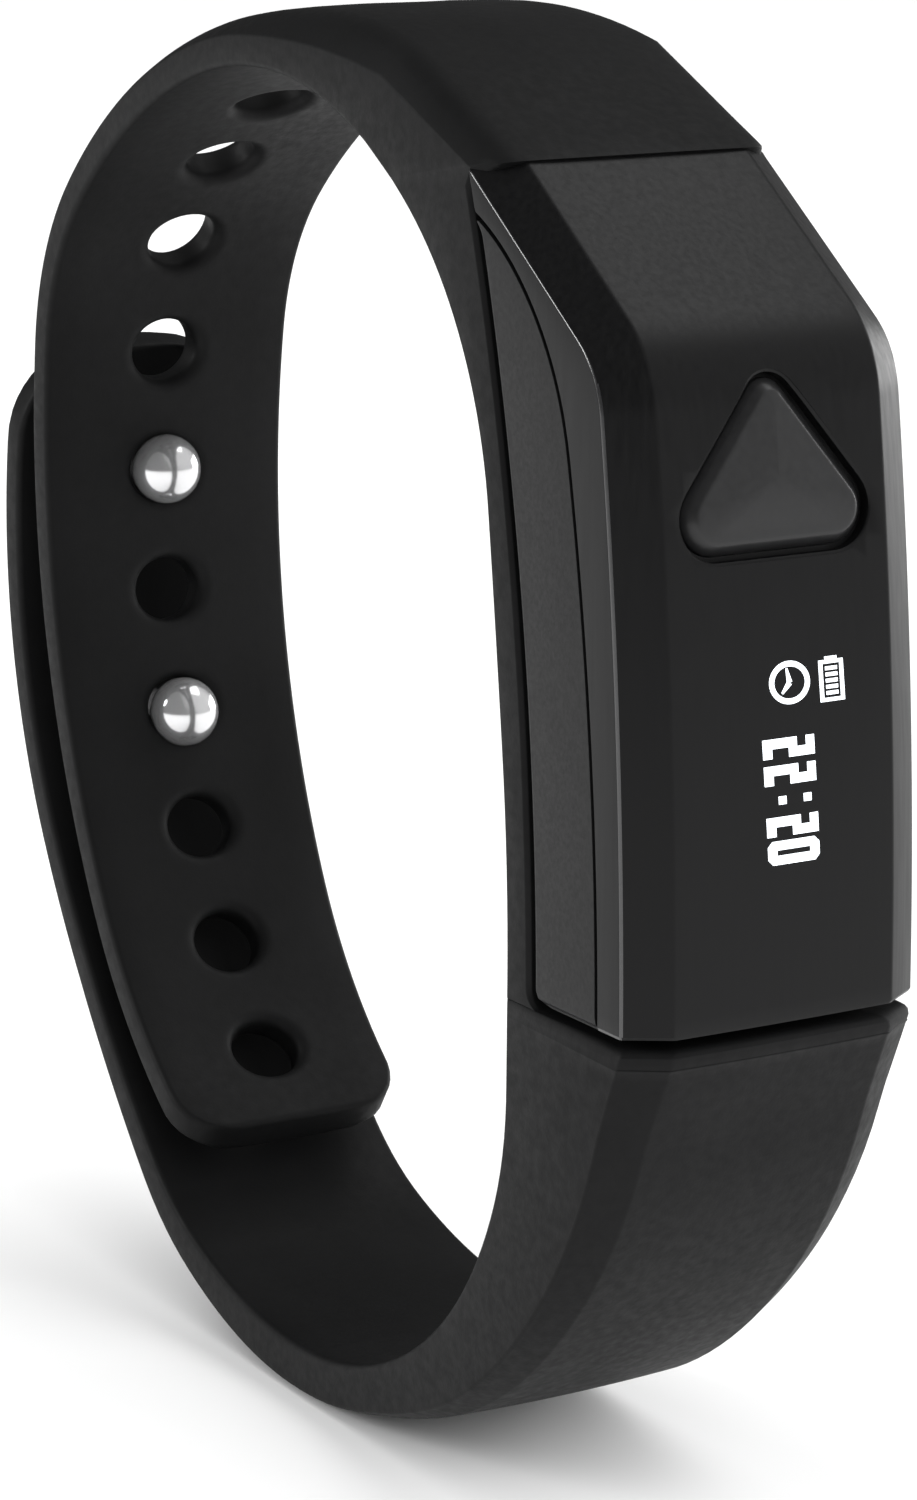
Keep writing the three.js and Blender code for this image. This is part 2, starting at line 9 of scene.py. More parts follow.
import bmesh
import bpy
import numpy as np
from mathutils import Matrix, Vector


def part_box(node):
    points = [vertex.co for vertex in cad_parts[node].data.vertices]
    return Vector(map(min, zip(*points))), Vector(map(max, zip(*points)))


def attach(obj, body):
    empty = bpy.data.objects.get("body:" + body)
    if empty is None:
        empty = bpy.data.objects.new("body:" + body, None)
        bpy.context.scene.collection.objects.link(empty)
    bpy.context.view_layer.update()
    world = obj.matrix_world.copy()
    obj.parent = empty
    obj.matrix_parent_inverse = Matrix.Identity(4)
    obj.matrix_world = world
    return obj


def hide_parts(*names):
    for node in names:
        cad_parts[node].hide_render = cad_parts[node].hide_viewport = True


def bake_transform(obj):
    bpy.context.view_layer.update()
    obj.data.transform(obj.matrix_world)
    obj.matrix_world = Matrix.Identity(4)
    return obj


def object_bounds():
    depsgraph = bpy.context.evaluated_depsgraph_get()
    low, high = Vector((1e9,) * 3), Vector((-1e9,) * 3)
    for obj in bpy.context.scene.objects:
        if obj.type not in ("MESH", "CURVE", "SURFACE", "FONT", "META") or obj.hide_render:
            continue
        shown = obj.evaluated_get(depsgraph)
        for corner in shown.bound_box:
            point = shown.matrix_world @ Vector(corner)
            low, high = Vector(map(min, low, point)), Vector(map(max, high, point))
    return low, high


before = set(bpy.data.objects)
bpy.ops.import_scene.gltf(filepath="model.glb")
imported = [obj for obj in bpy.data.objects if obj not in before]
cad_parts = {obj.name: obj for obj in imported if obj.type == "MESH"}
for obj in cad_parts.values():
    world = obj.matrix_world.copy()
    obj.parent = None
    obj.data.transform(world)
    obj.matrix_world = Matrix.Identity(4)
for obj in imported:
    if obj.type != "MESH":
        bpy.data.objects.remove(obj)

cad_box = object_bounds()
scene = bpy.context.scene

# ---- the part's own dimensions, as in its CAD source
POD_WIDTH = 19.2
FACE_WIDTH = 14.3
CHAMFER_RISE = 1.55
WALL = 1.2
SPLIT_GAP = 0.3
POD_TOP = (44.5, 44.9, 45.35)  # heights of its top at the rear, the side and the face
# A path is a start, a heading and arcs, each a length and a turn.
FRONT_EDGE = ((0, 0), 90, ((33.5, 8), (4.5, 46.5), (15, 0)))
REAR_EDGE = ((-9, 0), 90, ((46.5, 17.5),))
PARTING = ((-2.4, 0), 90, ((31, 11.5), (6.9, 24), (4.4, 14), (6, 22)))
CAVITY = (1.2, 39.5)  # from and to this height

BUTTON_Z = 30.2
BUTTON_TILT = 7.2
BUTTON_BASE = (3.75, -2.4, 2.3)  # across, up and radius of a lower corner
BUTTON_APEX = (3.5, 1.6)  # up and radius
BUTTON_GAP = 0.3

INNER_START = (-11.9, 2)
UPPER_ARCS = ((11.5, 6), (13.5, 1), (19, 46), (26.5, 51.5), (20, 29), (11, 37.5), (38, 37),
              (16.8, 30))
LOWER_ARCS = ((8, -2.5), (8, -22), (17.5, -37), (11.5, -25), (16.5, -26.5), (6, -19.5),
              (24.5, -20.5), (32.6, -45))
CRADLE_GAP = 0.4
CRADLE_TOP_S = 45.5
LIP_S = 2.9
LIP_EDGE = 11.9  # edge thickness of the lower strap at its lip
STRAP_EDGE = 1.9
STRAP_CHAMFER = 0.5
STRAP_T = STRAP_EDGE + STRAP_CHAMFER
SHOULDER_RISE = 3.8
SHOULDER_LENGTH = 18
SHOULDER_START = 3.5  # its rows turn from the pod's end to the strap's over this
POD_CLEARANCE = 0.35  # from the pod's top to the shoulder
LOWER_INSET = (2.45, 1.4)  # of the outer face: at the lip and on the strap
SOLE_EXTRA = 1
SHOULDER_WIDTH = 18.8
TAIL_WIDTH = 16.1
SOLE_WIDTH = 17.8
CLASP_WIDTH = 16.6
HOLE_PITCH = 8
TIP_TO_HOLE = 5.8
HOLES = 12
TAIL_HOLES = 7
STUD_HOLES = (4, 6)
CLASP_HINGE_S = 83.5
WINDOW_Y = 6.4  # half the width of the window for the charging pins
WINDOW_Z = (2.2, 10.2)
PIN_HOLE_R = 0.85
PLATE_T = 0.9
PLATE_WIDTH = 8
PLATE_GAP = 0.25  # round and under the clasp plate
PLATE_REACH = 3.4  # from a stud's middle to the plate's end
NECK_R = 0.9

# ---- what only the visual model has
POD_GROWTH = 0.18  # closes the gap to the shoulder to a fine line
FACE_CROWN = 0.1  # how much the pod's face bulges
TONGUE_INSET = 0.7  # the case's tongue closes the gap between the shells
TONGUE_GAP = 0.02
BUTTON_DOME = 0.28
LEDGE_INSET = 0.27  # the ledge in the button's recess, just off the cap's skirt
LEDGE_DEPTH = 0.75

SEAM_S = 22.0  # where the two halves of the band meet, behind the pod
SHOULDER_INSET = (1.35, 2.3, 0.8)  # of the outer face: at the pod, further on, on the strap
LIP_PROUD = 0.45
LIP_ROUND = 0.65
CRADLE_FILLET = 1.1  # where the cradle turns into the lip under the pod
CRADLE_EDGE = 0.25  # the cradle's small chamfer
FLASH = 0.04  # how far the mould's line stands out along the lip
TAIL_CORNER = 3.4  # radii of the strap ends' corners, seen from outside
CLASP_CORNER = 6.2
END_ROUND = 0.4  # how softly the strap ends are rounded over
HOLE_R = 2.05
HOLE_ROUND = 0.75
HOLE_OVAL = 1.13  # the holes look wider across the strap than along it
CELL = 12  # grid cells along each side of a hole's patch
POCKET_WALL = 0.06  # how much the walls of the plate's pocket lean
POCKET_HALF = PLATE_WIDTH / 2 + PLATE_GAP
HEAD_R = 2.3  # silicone stretches over a head, so it fills its hole
HEAD_PROUD = 0.15  # how far its middle is past the strap's inner surface
PANEL_CORNER = (-2.2, 6.45)  # the display panel's low corner in the design frame

MM = 0.001
panel_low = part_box("display_panel")[0]
SHIFT_X = panel_low.x / MM - PANEL_CORNER[0]
SHIFT_Z = panel_low.z / MM - PANEL_CORNER[1]


def place(x, y, z):
    """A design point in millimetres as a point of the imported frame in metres."""
    return Vector(((x + SHIFT_X) * MM, y * MM, (z + SHIFT_Z) * MM))


# ---- paths
class Chain:
    """A path of arcs in the XZ plane, each a length and a turn."""

    def __init__(self, start, heading, arcs):
        self.start, self.heading, self.arcs = start, heading, arcs
        self.length = sum(length for length, _ in arcs)

    def at(self, s):
        """x, z and heading in radians at distance s, also past both ends."""
        x, z = self.start
        h = radians(self.heading)
        left = s
        for i, (length, turn) in enumerate(self.arcs):
            d = left if i == len(self.arcs) - 1 else min(left, length)
            k = radians(turn) / length
            h1 = h + k * d
            if abs(k) < 1e-12:
                x += d * cos(h)
                z += d * sin(h)
            else:
                x += (sin(h1) - sin(h)) / k
                z += (cos(h) - cos(h1)) / k
            h = h1
            left -= d
            if left <= 1e-9:
                break
        return x, z, h

    def parallel(self, d):
        """The chain moved sideways by d, to the right of its heading."""
        h = radians(self.heading)
        start = (self.start[0] + d * sin(h), self.start[1] - d * cos(h))
        arcs = [(length + d * radians(turn), turn) for length, turn in self.arcs]
        return Chain(start, self.heading, arcs)

    def x_at(self, z):
        """Where a path that climbs all the way crosses height z."""
        low, high = -3.0, self.length + 6
        for _ in range(50):
            mid = (low + high) / 2
            if self.at(mid)[1] < z:
                low = mid
            else:
                high = mid
        return self.at((low + high) / 2)[0]


upper = Chain(INNER_START, 90, UPPER_ARCS)
lower = Chain(INNER_START, 270, LOWER_ARCS)
front_edge = Chain(*FRONT_EDGE)
face_edge = front_edge.parallel(CHAMFER_RISE)
rear_edge = Chain(*REAR_EDGE)
cradle_outer = rear_edge.parallel(-CRADLE_GAP)
parting = Chain(*PARTING)
pod_tip = (front_edge.x_at(POD_TOP[1]), POD_TOP[1])
pod_face_tip = (face_edge.x_at(POD_TOP[2]), POD_TOP[2])


def offset(path, s, d):
    """The point at distance d outwards of a strap path, on the side away from the wrist."""
    x, z, h = path.at(s)
    side = -1 if path is lower else 1
    return x + side * d * sin(h), z - side * d * cos(h)


def ease(x):
    return min(1.0, max(0.0, x))


def smooth(x):
    return ease(x) ** 2 * (3 - 2 * ease(x))


def mix(a, b, t):
    return a + (b - a) * t


def upper_size(s):
    """Edge thickness, chamfer rise, width and face width of the upper strap."""
    past = s - CRADLE_TOP_S
    thinning, edge_thinning, flattening = ease(past / 27), ease(past / 19), ease(past / 30)
    shoulder = mix(POD_WIDTH, SHOULDER_WIDTH, smooth(past / SHOULDER_LENGTH))
    run = upper.length - CRADLE_TOP_S - SHOULDER_LENGTH
    width = mix(shoulder, TAIL_WIDTH, ease((past - SHOULDER_LENGTH) / run))
    edge = STRAP_EDGE + SHOULDER_RISE * (1 - edge_thinning) ** 2
    thickness = STRAP_EDGE + SHOULDER_RISE * (1 - thinning) ** 2
    thickness += mix(CHAMFER_RISE, STRAP_CHAMFER, flattening)
    at_pod, middle, strap = SHOULDER_INSET
    inset = mix(mix(at_pod, middle, smooth(past / 15)), strap, flattening)
    return edge, thickness - edge, width, width - 2 * inset


def lower_size(s):
    """The same four sizes of the lower strap, which swells at its sole."""
    past = s - LIP_S
    thinning = ease(past / 36)
    sole_width = mix(POD_WIDTH, SOLE_WIDTH, smooth(past / 34))
    width = mix(sole_width, CLASP_WIDTH, ease((past - 34) / 45))
    sole = smooth((s - 12) / 20) * (1 - smooth((s - 48) / 30))
    edge = STRAP_EDGE + (LIP_EDGE - STRAP_EDGE) * (1 - thinning) ** 1.6 + SOLE_EXTRA * sole
    inset = mix(*LOWER_INSET, thinning)
    return edge, mix(CHAMFER_RISE, STRAP_CHAMFER, thinning), width, width - 2 * inset


# ---- meshes
def add_object(name, data):
    thing = bpy.data.objects.new(name, data)
    scene.collection.objects.link(thing)
    return thing


def make_object(name, points, faces, sharp=32, second=()):
    """A piece from design points and faces, smooth except across edges sharper than sharp.

    The faces listed in second take the piece's second material.
    """
    mesh = bpy.data.meshes.new(name)
    mesh.from_pydata([place(*p) for p in points], [], faces)
    for i in second:
        mesh.polygons[i].material_index = 1
    tidy_mesh(mesh, sharp)
    return add_object(name, mesh)


def tidy_mesh(mesh, sharp):
    bm = bmesh.new()
    bm.from_mesh(mesh)
    bmesh.ops.recalc_face_normals(bm, faces=bm.faces)
    bm.to_mesh(mesh)
    bm.free()
    mesh.shade_smooth()
    mesh.set_sharp_from_angle(angle=radians(sharp))
    mesh.update()


def fillet(points, radii, steps):
    """An open polyline of 2D points with each inner corner rounded into steps + 1 points."""
    out = [points[0]]
    for i in range(1, len(points) - 1):
        b = Vector(points[i])
        u = Vector(points[i - 1]) - b
        v = Vector(points[i + 1]) - b
        reach = 0.45 * min(u.length, v.length)
        u.normalize()
        v.normalize()
        half = max(1e-3, u.angle(v) / 2)
        t = min(radii[i - 1] / tan(half), reach)
        r = t * tan(half)
        middle = (u + v).normalized() * (r / sin(half))
        first, last = b + u * t - b - middle, b + v * t - b - middle
        sweep = pi - 2 * half
        turn = 1 if first.x * last.y - first.y * last.x > 0 else -1
        for k in range(steps[i - 1] + 1):
            a = turn * sweep * k / steps[i - 1]
            spin = Vector((first.x * cos(a) - first.y * sin(a),
                           first.x * sin(a) + first.y * cos(a)))
            out.append(tuple(b + middle + spin))
    out.append(points[-1])
    return out


CORNER_STEPS = (4, 3, 3)
CRADLE_RADII = (0.4, 0.12, 0.12)


class Row:
    """One cross-section of the band: three guide points in XZ and the sizes across it.

    radii round its three corners, from the inside out. inset shrinks it, sink lowers the middle
    of its outer face, mid fixes a column at that distance from the middle.
    """

    def __init__(self, inner, edge, face, half, face_half, inset=0.0, radii=(0.4, 0.3, 0.5),
                 mid=None, crown=0.15, sink=0.0, inner_inset=None):
        self.inner, self.edge, self.face = inner, edge, face
        self.half, self.face_half = half - inset, face_half - inset
        self.inner_inset = inset if inner_inset is None else inner_inset
        self.inset, self.radii, self.mid = inset, radii, mid
        self.crown, self.sink = crown, sink
        self.d_edge = dist(inner, edge)
        self.d_face = self.d_edge + dist(edge, face)

    def outer(self, y):
        """Depth of the outer face at y, crowned a little across the strap."""
        u = ease(abs(y) / self.face_half)
        return self.d_face - self.inset + self.crown * (1 - u * u)

    def point(self, y, d):
        if d <= self.d_edge:
            a, b, t = self.inner, self.edge, d / self.d_edge
        else:
            a, b = self.edge, self.face
            t = (d - self.d_edge) / max(1e-6, self.d_face - self.d_edge)
        return mix(a[0], b[0], t), y, mix(a[1], b[1], t)

    def half_loop(self, columns):
        """(y, d) pairs from the middle of the inside, round the rim, to the outside's middle."""
        i = self.inset
        first = self.inner_inset
        corners = [(0, first), (self.half + i - first, first), (self.half, self.d_edge - 0.6 * i),
                   (self.face_half, self.d_face - i), (0, self.d_face - i)]
        line = fillet(corners, self.radii, CORNER_STEPS)[1:-1]
        n1, n2, _ = (n + 1 for n in CORNER_STEPS)
        arc1, arc2, arc3 = line[:n1], line[n1:n1 + n2], line[n1 + n2:]
        room = max(0.1, min(arc1[0][0], arc3[-1][0]) - 0.2)
        columns = [y * min(1.0, room / columns[-1]) for y in columns]
        last = columns[-1]
        mid_in = self.mid if self.mid else mix(last, arc1[0][0], 0.5)
        mid_out = self.mid if self.mid else mix(last, arc3[-1][0], 0.5)
        rim = tuple(mix(a, b, 0.5) for a, b in zip(arc1[-1], arc2[0]))
        slope = tuple(mix(a, b, 0.5) for a, b in zip(arc2[-1], arc3[0]))
        loop = [(y, first) for y in columns] + [(mid_in, first)]
        loop += arc1 + [rim] + arc2 + [slope] + arc3
        outer_ys = [mid_out] + list(reversed(columns))
        pocket = POCKET_HALF + POCKET_WALL / 2
        loop += [(y, self.outer(y) - (self.sink if y < pocket else 0)) for y in outer_ys]
        return loop


class Band:
    """A closed strap mesh: rows of cross-sections with hole patches let into the grid."""

    def __init__(self, columns):
        self.columns = columns
        self.m = 0  # how many points each row has all round
        self.points, self.faces, self.rows, self.mould_line_and_highlight_faces = [], [], [], []

    def add_row(self, row):
        half = row.half_loop(self.columns)
        loop = half + [(-y, d) for y, d in reversed(half[1:-1])]
        self.m = len(loop)
        self.points += [row.point(y, d) for y, d in loop]
        self.rows.append(row)

    def index(self, i, j):
        return i * self.m + j % self.m

    def in_middle(self, j, reach):
        """Whether column j lies within reach columns of the middle, inside or outside."""
        half = self.m // 2
        return j < reach or j >= self.m - reach or half - reach <= j < half + reach

    def on_corner(self, j):
        """Whether column j runs along the corner between a rim and its chamfer."""
        corner = len(self.columns) + CORNER_STEPS[0] + 4
        return j in (corner, self.m - corner - 1)

    def skin(self, skip, flash_row, mould_line_and_highlight_corner):
        """Quads between the rows, without the ones that skip(i, j) leaves out, and end caps.

        The mould's line runs across row flash_row and along the corners of some rows; along those
        corners its paler material is partly a painted highlight.
        """
        for i in range(len(self.rows) - 1):
            for j in range(self.m):
                if skip(i, j):
                    continue
                if i == flash_row or (i in mould_line_and_highlight_corner and self.on_corner(j)):
                    self.mould_line_and_highlight_faces.append(len(self.faces))
                self.faces.append((self.index(i, j), self.index(i, j + 1),
                                   self.index(i + 1, j + 1), self.index(i + 1, j)))
        last = len(self.rows) - 1
        self.faces.append([self.index(0, j) for j in range(self.m)])
        self.faces.append([self.index(last, j) for j in range(self.m)])

    def ring(self, points):
        """Adds loose points and gives their numbers."""
        start = len(self.points)
        self.points += points
        return list(range(start, start + len(points)))

    def bridge(self, a, b):
        n = len(a)
        for k in range(n):
            self.faces.append((a[k], a[(k + 1) % n], b[(k + 1) % n], b[k]))

    def perimeter(self, i0, i1, c, outside):
        """Grid vertices round a rectangle of rows i0..i1 and columns -c..c, in order."""
        walk = [(i0, k) for k in range(-c, c)] + [(i, c) for i in range(i0, i1)]
        walk += [(i1, k) for k in range(c, -c, -1)] + [(i, -c) for i in range(i1, i0, -1)]
        flip = self.m // 2
        return [self.index(i, flip - k if outside else k) for i, k in walk]


# ---- upper half of the band: cradle, strap and tail
HOLE_COLUMNS = [k * HOLE_PITCH / CELL for k in range(CELL // 2 + 1)]


def cradle_row(s, mid=None, swell=0.0):
    """The thin part of the band behind the pod, at s along the upper path (below 0 too).

    The two ends of its outer side are matched to two ends of its inner side.
    """
    inner_from, inner_to = -2.6, CRADLE_TOP_S - 0.3
    outer_from, outer_to = -0.6, 45.1
    t = (s - inner_from) / (inner_to - inner_from)
    inner = upper.at(s)[:2]
    outer = cradle_outer.at(mix(outer_from, outer_to, t))[:2]
    outer = (outer[0] + swell, outer[1])
    reach = dist(inner, outer)
    edge = tuple(mix(a, b, 1 - CRADLE_EDGE / reach) for a, b in zip(inner, outer))
    return Row(inner, edge, outer, POD_WIDTH / 2, POD_WIDTH / 2 - CRADLE_EDGE,
               radii=CRADLE_RADII, mid=mid, crown=0)


def strap_row(path, size, s, narrow=0.0, **more):
    edge, rise, width, face = size(s)
    if path is upper:
        more.setdefault("radii", (0.4, 0.3, 0.5 + 2.2 * (rise - STRAP_CHAMFER)))
    return Row(offset(path, s, 0), offset(path, s, edge), offset(path, s, edge + rise),
               (width - narrow) / 2, (face - narrow) / 2, **more)


def corner_narrow(s, end, corner):
    """How much narrower a strap with round corners is at s than at its full width."""
    t = max(0.0, corner - (end - s))
    return 2 * (corner - sqrt(max(0.0, corner ** 2 - t * t)))


def tip_rows(path, size, corner):
    """Rows over the last few millimetres of a strap: rounded in plan and rounded over."""
    rows = [(path.length - back, 0.0) for back in (1.4, 0.8, 0.45)]
    for angle in (20, 45, 70, 90):
        a = radians(angle)
        rows.append((path.length - END_ROUND * (1 - sin(a)), END_ROUND * (1 - cos(a))))
    return [strap_row(path, size, s, corner_narrow(s, path.length, corner), inset=inset)
            for s, inset in rows]


def build_upper():
    band = Band(HOLE_COLUMNS)
    for s in np.linspace(SEAM_S, CRADLE_TOP_S - 0.5, 26):
        band.add_row(cradle_row(s))
    shoulder_row = len(band.rows) + 1
    # The shoulder closes over the pod's top end, a little back from its side and its face.
    inner = offset(upper, CRADLE_TOP_S, 0)
    tip = (pod_tip[0] - 0.25, pod_tip[1] + POD_CLEARANCE)
    face_tip = (pod_face_tip[0] - 0.1, pod_face_tip[1] + POD_CLEARANCE)
    first_s = CRADLE_TOP_S + SHOULDER_START
    edge, rise, width, face = upper_size(first_s)
    pod_face = POD_WIDTH - 2 * SHOULDER_INSET[0]
    after = (offset(upper, first_s, 0), offset(upper, first_s, edge),
             offset(upper, first_s, edge + rise))
    for t, inset in ((0.0, 0.1), (0.02, 0.02), (0.06, 0.0), (0.3, 0.0), (0.65, 0.0)):
        points = [tuple(mix(a, b, t) for a, b in zip(p, q))
                  for p, q in zip((inner, tip, face_tip), after)]
        band.add_row(Row(*points, mix(POD_WIDTH, width, t) / 2, mix(pod_face, face, t) / 2,
                         inset=inset, inner_inset=0, radii=(0.4, 0.3, 2.5)))
    first_hole = upper.length - TIP_TO_HOLE - HOLE_PITCH * (HOLES - 1)
    grid_start = first_hole - HOLE_PITCH / 2
    for s in np.linspace(first_s, grid_start, 10)[:-1]:
        band.add_row(strap_row(upper, upper_size, s))
    patch_row = len(band.rows)
    for k in range(HOLES * CELL + 1):
        s = grid_start + k * HOLE_PITCH / CELL
        narrow = corner_narrow(s, upper.length, TAIL_CORNER)
        band.add_row(strap_row(upper, upper_size, s, narrow))
    for row in tip_rows(upper, upper_size, TAIL_CORNER):
        band.add_row(row)

    span = range(patch_row, patch_row + HOLES * CELL)
    band.skin(lambda i, j: i in span and band.in_middle(j, len(HOLE_COLUMNS) - 1), None,
              range(shoulder_row, patch_row + 2 * CELL))
    for k in range(HOLES):
        hole_patch(band, patch_row + k * CELL, first_hole + k * HOLE_PITCH)
    return make_object("band_upper", band.points, band.faces, second=band.mould_line_and_highlight_faces)


def hole_patch(band, i0, s_mid):
    """Rings from the grid square at row i0 into a round hole with softly rounded mouths."""
    reach = len(HOLE_COLUMNS) - 1

    def surface(ds, y, depth, outside):
        s = s_mid + ds
        row = strap_row(upper, upper_size, s, corner_narrow(s, upper.length, TAIL_CORNER))
        d = row.outer(y) - depth if outside else depth
        x, z = offset(upper, s, d)
        return x, y, z

    steps = [k * HOLE_PITCH / CELL for k in range(-reach, reach)]
    back_steps = [k * HOLE_PITCH / CELL for k in range(reach, -reach, -1)]
    side = HOLE_PITCH / 2
    square = [(-side, step) for step in steps] + [(step, side) for step in steps]
    square += [(side, step) for step in back_steps] + [(step, -side) for step in back_steps]
    # Each ring is (how far from square to round, radius, depth, widening across the strap).
    stages = [(t + 0.1, HOLE_R + HOLE_ROUND, 0, mix(1.0, HOLE_OVAL, t)) for t in (0.35, 0.7)]
    for angle in (90, 70, 50, 30, 12, 0):
        a = radians(angle)
        stages.append((1.0, HOLE_R + HOLE_ROUND * (1 - cos(a)),
                       HOLE_ROUND * (1 - sin(a)), HOLE_OVAL))
    walls = []
    for outside in (False, True):
        before = band.perimeter(i0, i0 + CELL, reach, outside)
        for round_by, radius, depth, oval in stages:
            ring = []
            for ds, y in square:
                q = mix(1.0, radius / hypot(ds, y), round_by)
                ring.append(surface(ds * q, y * q * oval, depth, outside))
            ring = band.ring(ring)
            band.bridge(before, ring)
            before = ring
        walls.append(before)
    band.bridge(*walls)


# ---- lower half of the band: cradle, sole and clasp end
def stud_direction():
    """The studs' direction inwards, and the middles of the tail's and the clasp's hinges."""
    tail_s = upper.length - TIP_TO_HOLE - HOLE_PITCH * (TAIL_HOLES - 1) - HOLE_PITCH / 2
    a = offset(upper, tail_s, STRAP_T / 2)
    b = offset(lower, CLASP_HINGE_S, STRAP_T / 2)
    line = (a[0] - b[0], a[1] - b[1])
    span = hypot(*line)
    return (line[1] / span, -line[0] / span), a, b


stud_in, tail_hinge, clasp_hinge = stud_direction()


def stud_base(k):
    """s, x and z where stud k leaves the clasp end, and how far the hole's middle is."""
    s_hole = upper.length - TIP_TO_HOLE - HOLE_PITCH * (k - 1)
    hole = offset(upper, s_hole, STRAP_T / 2)
    best = None
    for s in np.arange(CLASP_HINGE_S, lower.length, 0.05):
        x, z, _ = lower.at(s)
        along = abs((x - hole[0]) * stud_in[1] - (z - hole[1]) * stud_in[0])
        if best is None or along < best[0]:
            best = (along, s, x, z)
    _, s, x, z = best
    return s, x, z, (hole[0] - x) * stud_in[0] + (hole[1] - z) * stud_in[1]


PLATE_FROM = stud_base(STUD_HOLES[0])[0] - PLATE_REACH
PLATE_TO = stud_base(STUD_HOLES[1])[0] + PLATE_REACH
LOWER_COLUMNS = [k * POCKET_HALF / 5 for k in range(6)] + [POCKET_HALF + POCKET_WALL]


def build_lower():
    band = Band(LOWER_COLUMNS)
    window = [z - INNER_START[1] for z in WINDOW_Z]
    above = list(np.linspace(SEAM_S, window[1], 8)[:-1])
    beside = list(np.linspace(*window[::-1], 6))
    for s in above + beside:
        band.add_row(cradle_row(s, WINDOW_Y))
    window_rows = (len(above), len(above) + len(beside) - 1)
    lip_s = LIP_S - LIP_PROUD
    for s in (0.05, 0.6, 1.2):
        band.add_row(cradle_row(-s, WINDOW_Y))
    for angle in (15, 35, 55, 72, 85):
        a = radians(angle)
        back, swell = CRADLE_FILLET * (1 - sin(a)), CRADLE_FILLET * (1 - cos(a))
        band.add_row(cradle_row(-(lip_s - 0.02 - back), WINDOW_Y, swell))
    for angle in (0, 20, 40, 60, 90):
        a = radians(angle)
        s, inset = lip_s + LIP_ROUND * (1 - cos(a)), LIP_ROUND * (1 - sin(a))
        band.add_row(strap_row(lower, lower_size, s, inset=inset, inner_inset=0))
    flash_row = len(band.rows) + 1
    for s, ridge in ((0.3, 0), (0.36, FLASH), (0.42, FLASH), (0.48, 0)):
        band.add_row(strap_row(lower, lower_size, lip_s + LIP_ROUND + s, inset=-ridge,
                               inner_inset=0))
    start, end = PLATE_FROM - PLATE_GAP, PLATE_TO + PLATE_GAP
    for s in np.linspace(LIP_S + 1.2, start - 0.05, 84):
        band.add_row(strap_row(lower, lower_size, s))
    tip = lower.length
    for s in np.linspace(start, end, 24):
        band.add_row(strap_row(lower, lower_size, s, corner_narrow(s, tip, CLASP_CORNER),
                               sink=PLATE_T + PLATE_GAP))
    for s in np.linspace(end + POCKET_WALL, tip - 1.6, 5):
        band.add_row(strap_row(lower, lower_size, s, corner_narrow(s, tip, CLASP_CORNER)))
    for row in tip_rows(lower, lower_size, CLASP_CORNER):
        band.add_row(row)

    reach = len(LOWER_COLUMNS)
    band.skin(lambda i, j: window_rows[0] <= i < window_rows[1] and band.in_middle(j, reach),
              flash_row, range(flash_row + 3, flash_row + 60))
    band.bridge(band.perimeter(*window_rows, reach, False),
                band.perimeter(*window_rows, reach, True))
    return make_object("band_lower", band.points, band.faces, second=band.mould_line_and_highlight_faces)


# ---- pod shells
def loft(rings):
    """Points and faces of rings of equal counts, closed with a face at each end."""
    n = len(rings[0])
    points = [p for ring in rings for p in ring]
    faces = []
    for i in range(len(rings) - 1):
        for j in range(n):
            a, b = i * n + j, i * n + (j + 1) % n
            faces.append((a, b, b + n, a + n))
    faces.append(list(range(n)))
    faces.append([(len(rings) - 1) * n + j for j in range(n)])
    return points, faces


LEVEL_TOP = 37.3  # the pod's rings are level up to here and lean above it


def pod_levels():
    """Heights of the pod's rings at the rear, the side and the face, closer at the bend."""
    plain = list(np.linspace(0.0, 32.8, 30)) + list(np.linspace(33.2, LEVEL_TOP, 18))
    levels = [(z, z, z) for z in plain]
    for t in np.linspace(0, 1, 37)[1:]:
        levels.append(tuple(mix(LEVEL_TOP, goal + POD_GROWTH, t) for goal in POD_TOP))
    return levels


def case_top(line):
    """Height at which the parting line runs out at the pod's rear edge."""
    low, high = 36.0, POD_TOP[0]
    for _ in range(40):
        mid = (low + high) / 2
        if line.x_at(mid) - rear_edge.x_at(mid) > 0.25:
            low = mid
        else:
            high = mid
    return low


def cover_ring(level, inset, lift, line):
    """The front shell's ring: parting point, side, chamfer and face, then the mirror side.

    It leans from the height of its side to the height of its face.
    """
    _, z_side, z_face = level
    x_side = front_edge.x_at(z_side) - inset
    x_face = face_edge.x_at(z_face) - inset
    x_part = max(line.x_at(z_side), rear_edge.x_at(z_side))
    half, face_half = POD_WIDTH / 2 - inset, FACE_WIDTH / 2 - inset
    corners = [(-half, x_part), (-half, x_side), (-face_half, x_face), (0, x_face + FACE_CROWN)]
    side = fillet(corners, (0.3, 0.5), (4, 5))
    inner = list(np.linspace(side[-2][0], 0, 7))[1:]
    ring = side[:-1] + [(y, x_face + FACE_CROWN * (1 - (y / face_half) ** 2)) for y in inner]
    ring += [(-y, x) for y, x in reversed(ring[:-1])]
    leans = [ease((x - x_side) / max(1e-6, x_face - x_side)) for _, x in ring]
    return [(x, y, mix(z_side, z_face, t) + lift) for (y, x), t in zip(ring, leans)]


def cover_body():
    """The front shell as a solid, from rings of (level, inset, lift): both its ends are rounded."""
    line = parting.parallel(SPLIT_GAP / 2)
    levels = pod_levels()
    ends = [(levels[0], 0.25, 0.0), (levels[0], 0.08, 0.07), (levels[0], 0.0, 0.25)]
    ends += [(level, 0.0, 0) for level in levels[1:]]
    ends += [(levels[-1], 0.08, 0.1), (levels[-1], 0.25, 0.17)]
    return loft([cover_ring(level, inset, lift, line) for level, inset, lift in ends])


